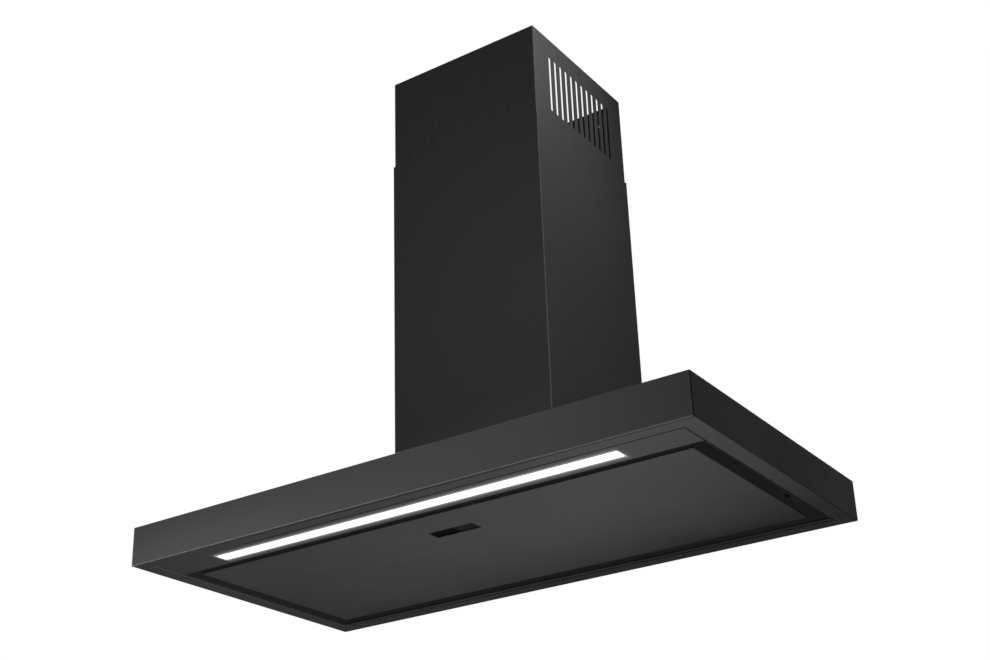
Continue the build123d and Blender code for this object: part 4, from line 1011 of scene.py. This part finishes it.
def addHead(work, shape, screw, middle):
    rings = [newRing(work, screw, middle, radius * screw["radius"],
                     [rise * screw["rise"]] * shape["headSteps"])
             for radius, rise in shape["headRings"]]
    work.faces.new(rings[0])
    for lower, upper in zip(rings, rings[1:]):
        bridge(work, lower, upper)
    reach, width = shape["armReach"] * screw["radius"], shape["armWidth"] * screw["radius"]
    foot, floorHeight = shape["recessFoot"], screw["rise"] * (1 - shape["recessDepth"])
    mouth = newCross(work, screw, middle, reach, width, screw["rise"])
    floor = newCross(work, screw, middle, reach * foot, width * foot, floorHeight)
    bridge(work, mouth, floor)
    work.faces.new(floor)
    edges = [work.edges.get((loop[n], loop[(n + 1) % len(loop)]))
             for loop in (rings[-1], mouth) for n in range(len(loop))]
    bmesh.ops.triangle_fill(work, edges=edges, use_beauty=True)


def addThread(work, shape, screw, middle):
    # crest and root take turns, half a pitch apart; rows past an end lie flat on it
    steps, half = shape["threadSteps"], screw["pitch"] / 2
    grid = []
    for row in range(-2, int(screw["reach"] / half) + 6):
        radius = screw["shank"] * (1.0 if row % 2 else shape["rootShare"])
        depths = [row * half + screw["pitch"] * n / steps for n in range(steps)]
        heights = [-min(max(depth, 0.0), screw["reach"]) for depth in depths]
        grid.append(newRing(work, screw, middle, radius, heights))
    for row in range(len(grid) - 3):
        for n in range(steps - 1):
            work.faces.new((grid[row][n], grid[row][n + 1],
                            grid[row + 1][n + 1], grid[row + 1][n]))
        # the thread climbs one pitch, which is two rows, in each turn
        work.faces.new((grid[row][-1], grid[row + 2][0], grid[row + 3][0], grid[row + 1][-1]))
    work.faces.new(grid[-3])


for screwName, screw in screwSets.items():
    work = bmesh.new()
    for x, y in screw["spots"]:
        for side in (-1, 1):
            addHead(work, screwShape, screw, (side * x, y))
            addThread(work, screwShape, screw, (side * x, y))
    bmesh.ops.remove_doubles(work, verts=work.verts, dist=screwShape["weld"])
    bmesh.ops.recalc_face_normals(work, faces=work.faces)
    mesh = bpy.data.meshes.new("cross_" + screwName)
    work.to_mesh(mesh)
    work.free()
    showsInGap = screwName == "liner_screws"
    mesh.materials.append(blackenedSteelFinish if showsInGap else platedSteelFinish)
    mesh.shade_smooth()
    mesh.set_sharp_from_angle(angle=math.radians(screwShape["crease"]))
    piece = newObject("cross_" + screwName, mesh)
    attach(piece, "hood")
    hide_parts(screwName)
print("screws cut")


studio = {
    "floorLevel": -1.9,
    "floorSize": 500.0,
    "floorColour": (0.50, 0.50, 0.50),
    "floorRoughness": 0.9,
    "floorGloss": 0.1,             # specular level
    "floorGlow": 0.45,             # paleness where the floor is looked at or mirrored
    "floorPaleness": 0.30,         # more of it where the camera looks at the floor directly
    "worldLight": 0.263,
    "backdrop": 1.0,               # how bright the world is where it is looked at or mirrored
}
white = (1.0, 1.0, 1.0)


def lookedAt(tree):
    # 1 where the camera looks straight on, and 1 where it looks, also by a reflection or glass
    path = tree.nodes.new("ShaderNodeLightPath").outputs
    looked = mathNode(tree, "MAXIMUM", path["Is Camera Ray"], path["Is Glossy Ray"])
    return path["Is Camera Ray"], mathNode(tree, "MAXIMUM", looked, path["Is Transmission Ray"])


def chooseSurface(tree, mask, first, second, output):
    choose = tree.nodes.new("ShaderNodeMixShader")
    join(tree, mask, choose.inputs["Fac"])
    join(tree, first.outputs[0], choose.inputs[1])
    join(tree, second.outputs[0], choose.inputs[2])
    join(tree, choose.outputs[0], tree.nodes[output].inputs["Surface"])


def addFloor(room):
    half = room["floorSize"] / 2
    corners = [(-half, -half, 0), (half, -half, 0), (half, half, 0), (-half, half, 0)]
    mesh = bpy.data.meshes.new("floor")
    mesh.from_pydata(corners, [], [(0, 1, 2, 3)])
    floor = newObject("floor", mesh)
    floor.location = (0, 0, room["floorLevel"])
    material, tree, shader = newFinish("paleFloor")
    direct, looked = lookedAt(tree)
    glow = mathNode(tree, "MULTIPLY", looked, room["floorGlow"])
    direct = mathNode(tree, "MULTIPLY", direct, room["floorPaleness"])
    feed(tree, shader, {
        "Base Color": room["floorColour"],
        "Roughness": room["floorRoughness"],
        "Specular IOR Level": room["floorGloss"],
        "Emission Color": white,
        "Emission Strength": mathNode(tree, "ADD", glow, direct),
    })
    # from below the floor is clear, so that a low camera sees the object through it
    clear = tree.nodes.new("ShaderNodeBsdfTransparent")
    geometry = tree.nodes.new("ShaderNodeNewGeometry")
    chooseSurface(tree, geometry.outputs["Backfacing"], shader, clear, "Material Output")
    mesh.materials.append(material)


def setWorld(room):
    world = bpy.data.worlds.new("studio")
    bpy.context.scene.world = world
    world.use_nodes = True
    tree = world.node_tree
    light = tree.nodes["Background"]
    feed(tree, light, {"Color": white, "Strength": room["worldLight"]})
    backdrop = tree.nodes.new("ShaderNodeBackground")
    feed(tree, backdrop, {"Color": white, "Strength": room["backdrop"]})
    chooseSurface(tree, lookedAt(tree)[1], light, backdrop, "World Output")


lamps = {
    "leftFront": {"place": (-0.266, -1.078, -0.201), "aim": (-0.126, -0.954, -1.357),
                  "size": (0.8, 0.12), "power": 26.9},
    "rightTop": {"place": (0.566, 0.026, 0.824), "aim": (0.955, -1.359, 0.38),
                 "size": (0.3, 0.3), "power": 27.3},
    "below": {"place": (0.192, 0.02, -0.857), "aim": (-0.019, -1.203, -0.985),
              "size": (0.5, 0.5), "power": 17.9},
    "front": {"place": (0.345, -0.998, 0.019), "aim": (-0.135, -0.724, 0.025),
              "size": (0.3, 0.3), "power": 6.6},
    "rearFill": {"place": (-1.6, 1.8, 1.9), "aim": (0.0, -0.24, 0.0),
                 "size": (1.5, 1.5), "power": 75.0},
}


def addLamp(name, lamp):
    data = bpy.data.lights.new(name, "AREA")
    data.shape = "RECTANGLE"
    data.size, data.size_y = lamp["size"]
    data.energy = lamp["power"]
    light = newObject(name, data)
    light.location = lamp["place"]
    aim = Vector(lamp["aim"]) - Vector(lamp["place"])
    light.rotation_mode = "QUATERNION"
    light.rotation_quaternion = aim.to_track_quat("-Z", "Y")
    light.visible_camera = False


addFloor(studio)
setWorld(studio)
for lampName, lampValues in lamps.items():
    addLamp(lampName, lampValues)

bpy.context.scene.view_settings.view_transform = "Standard"
print("studio set")
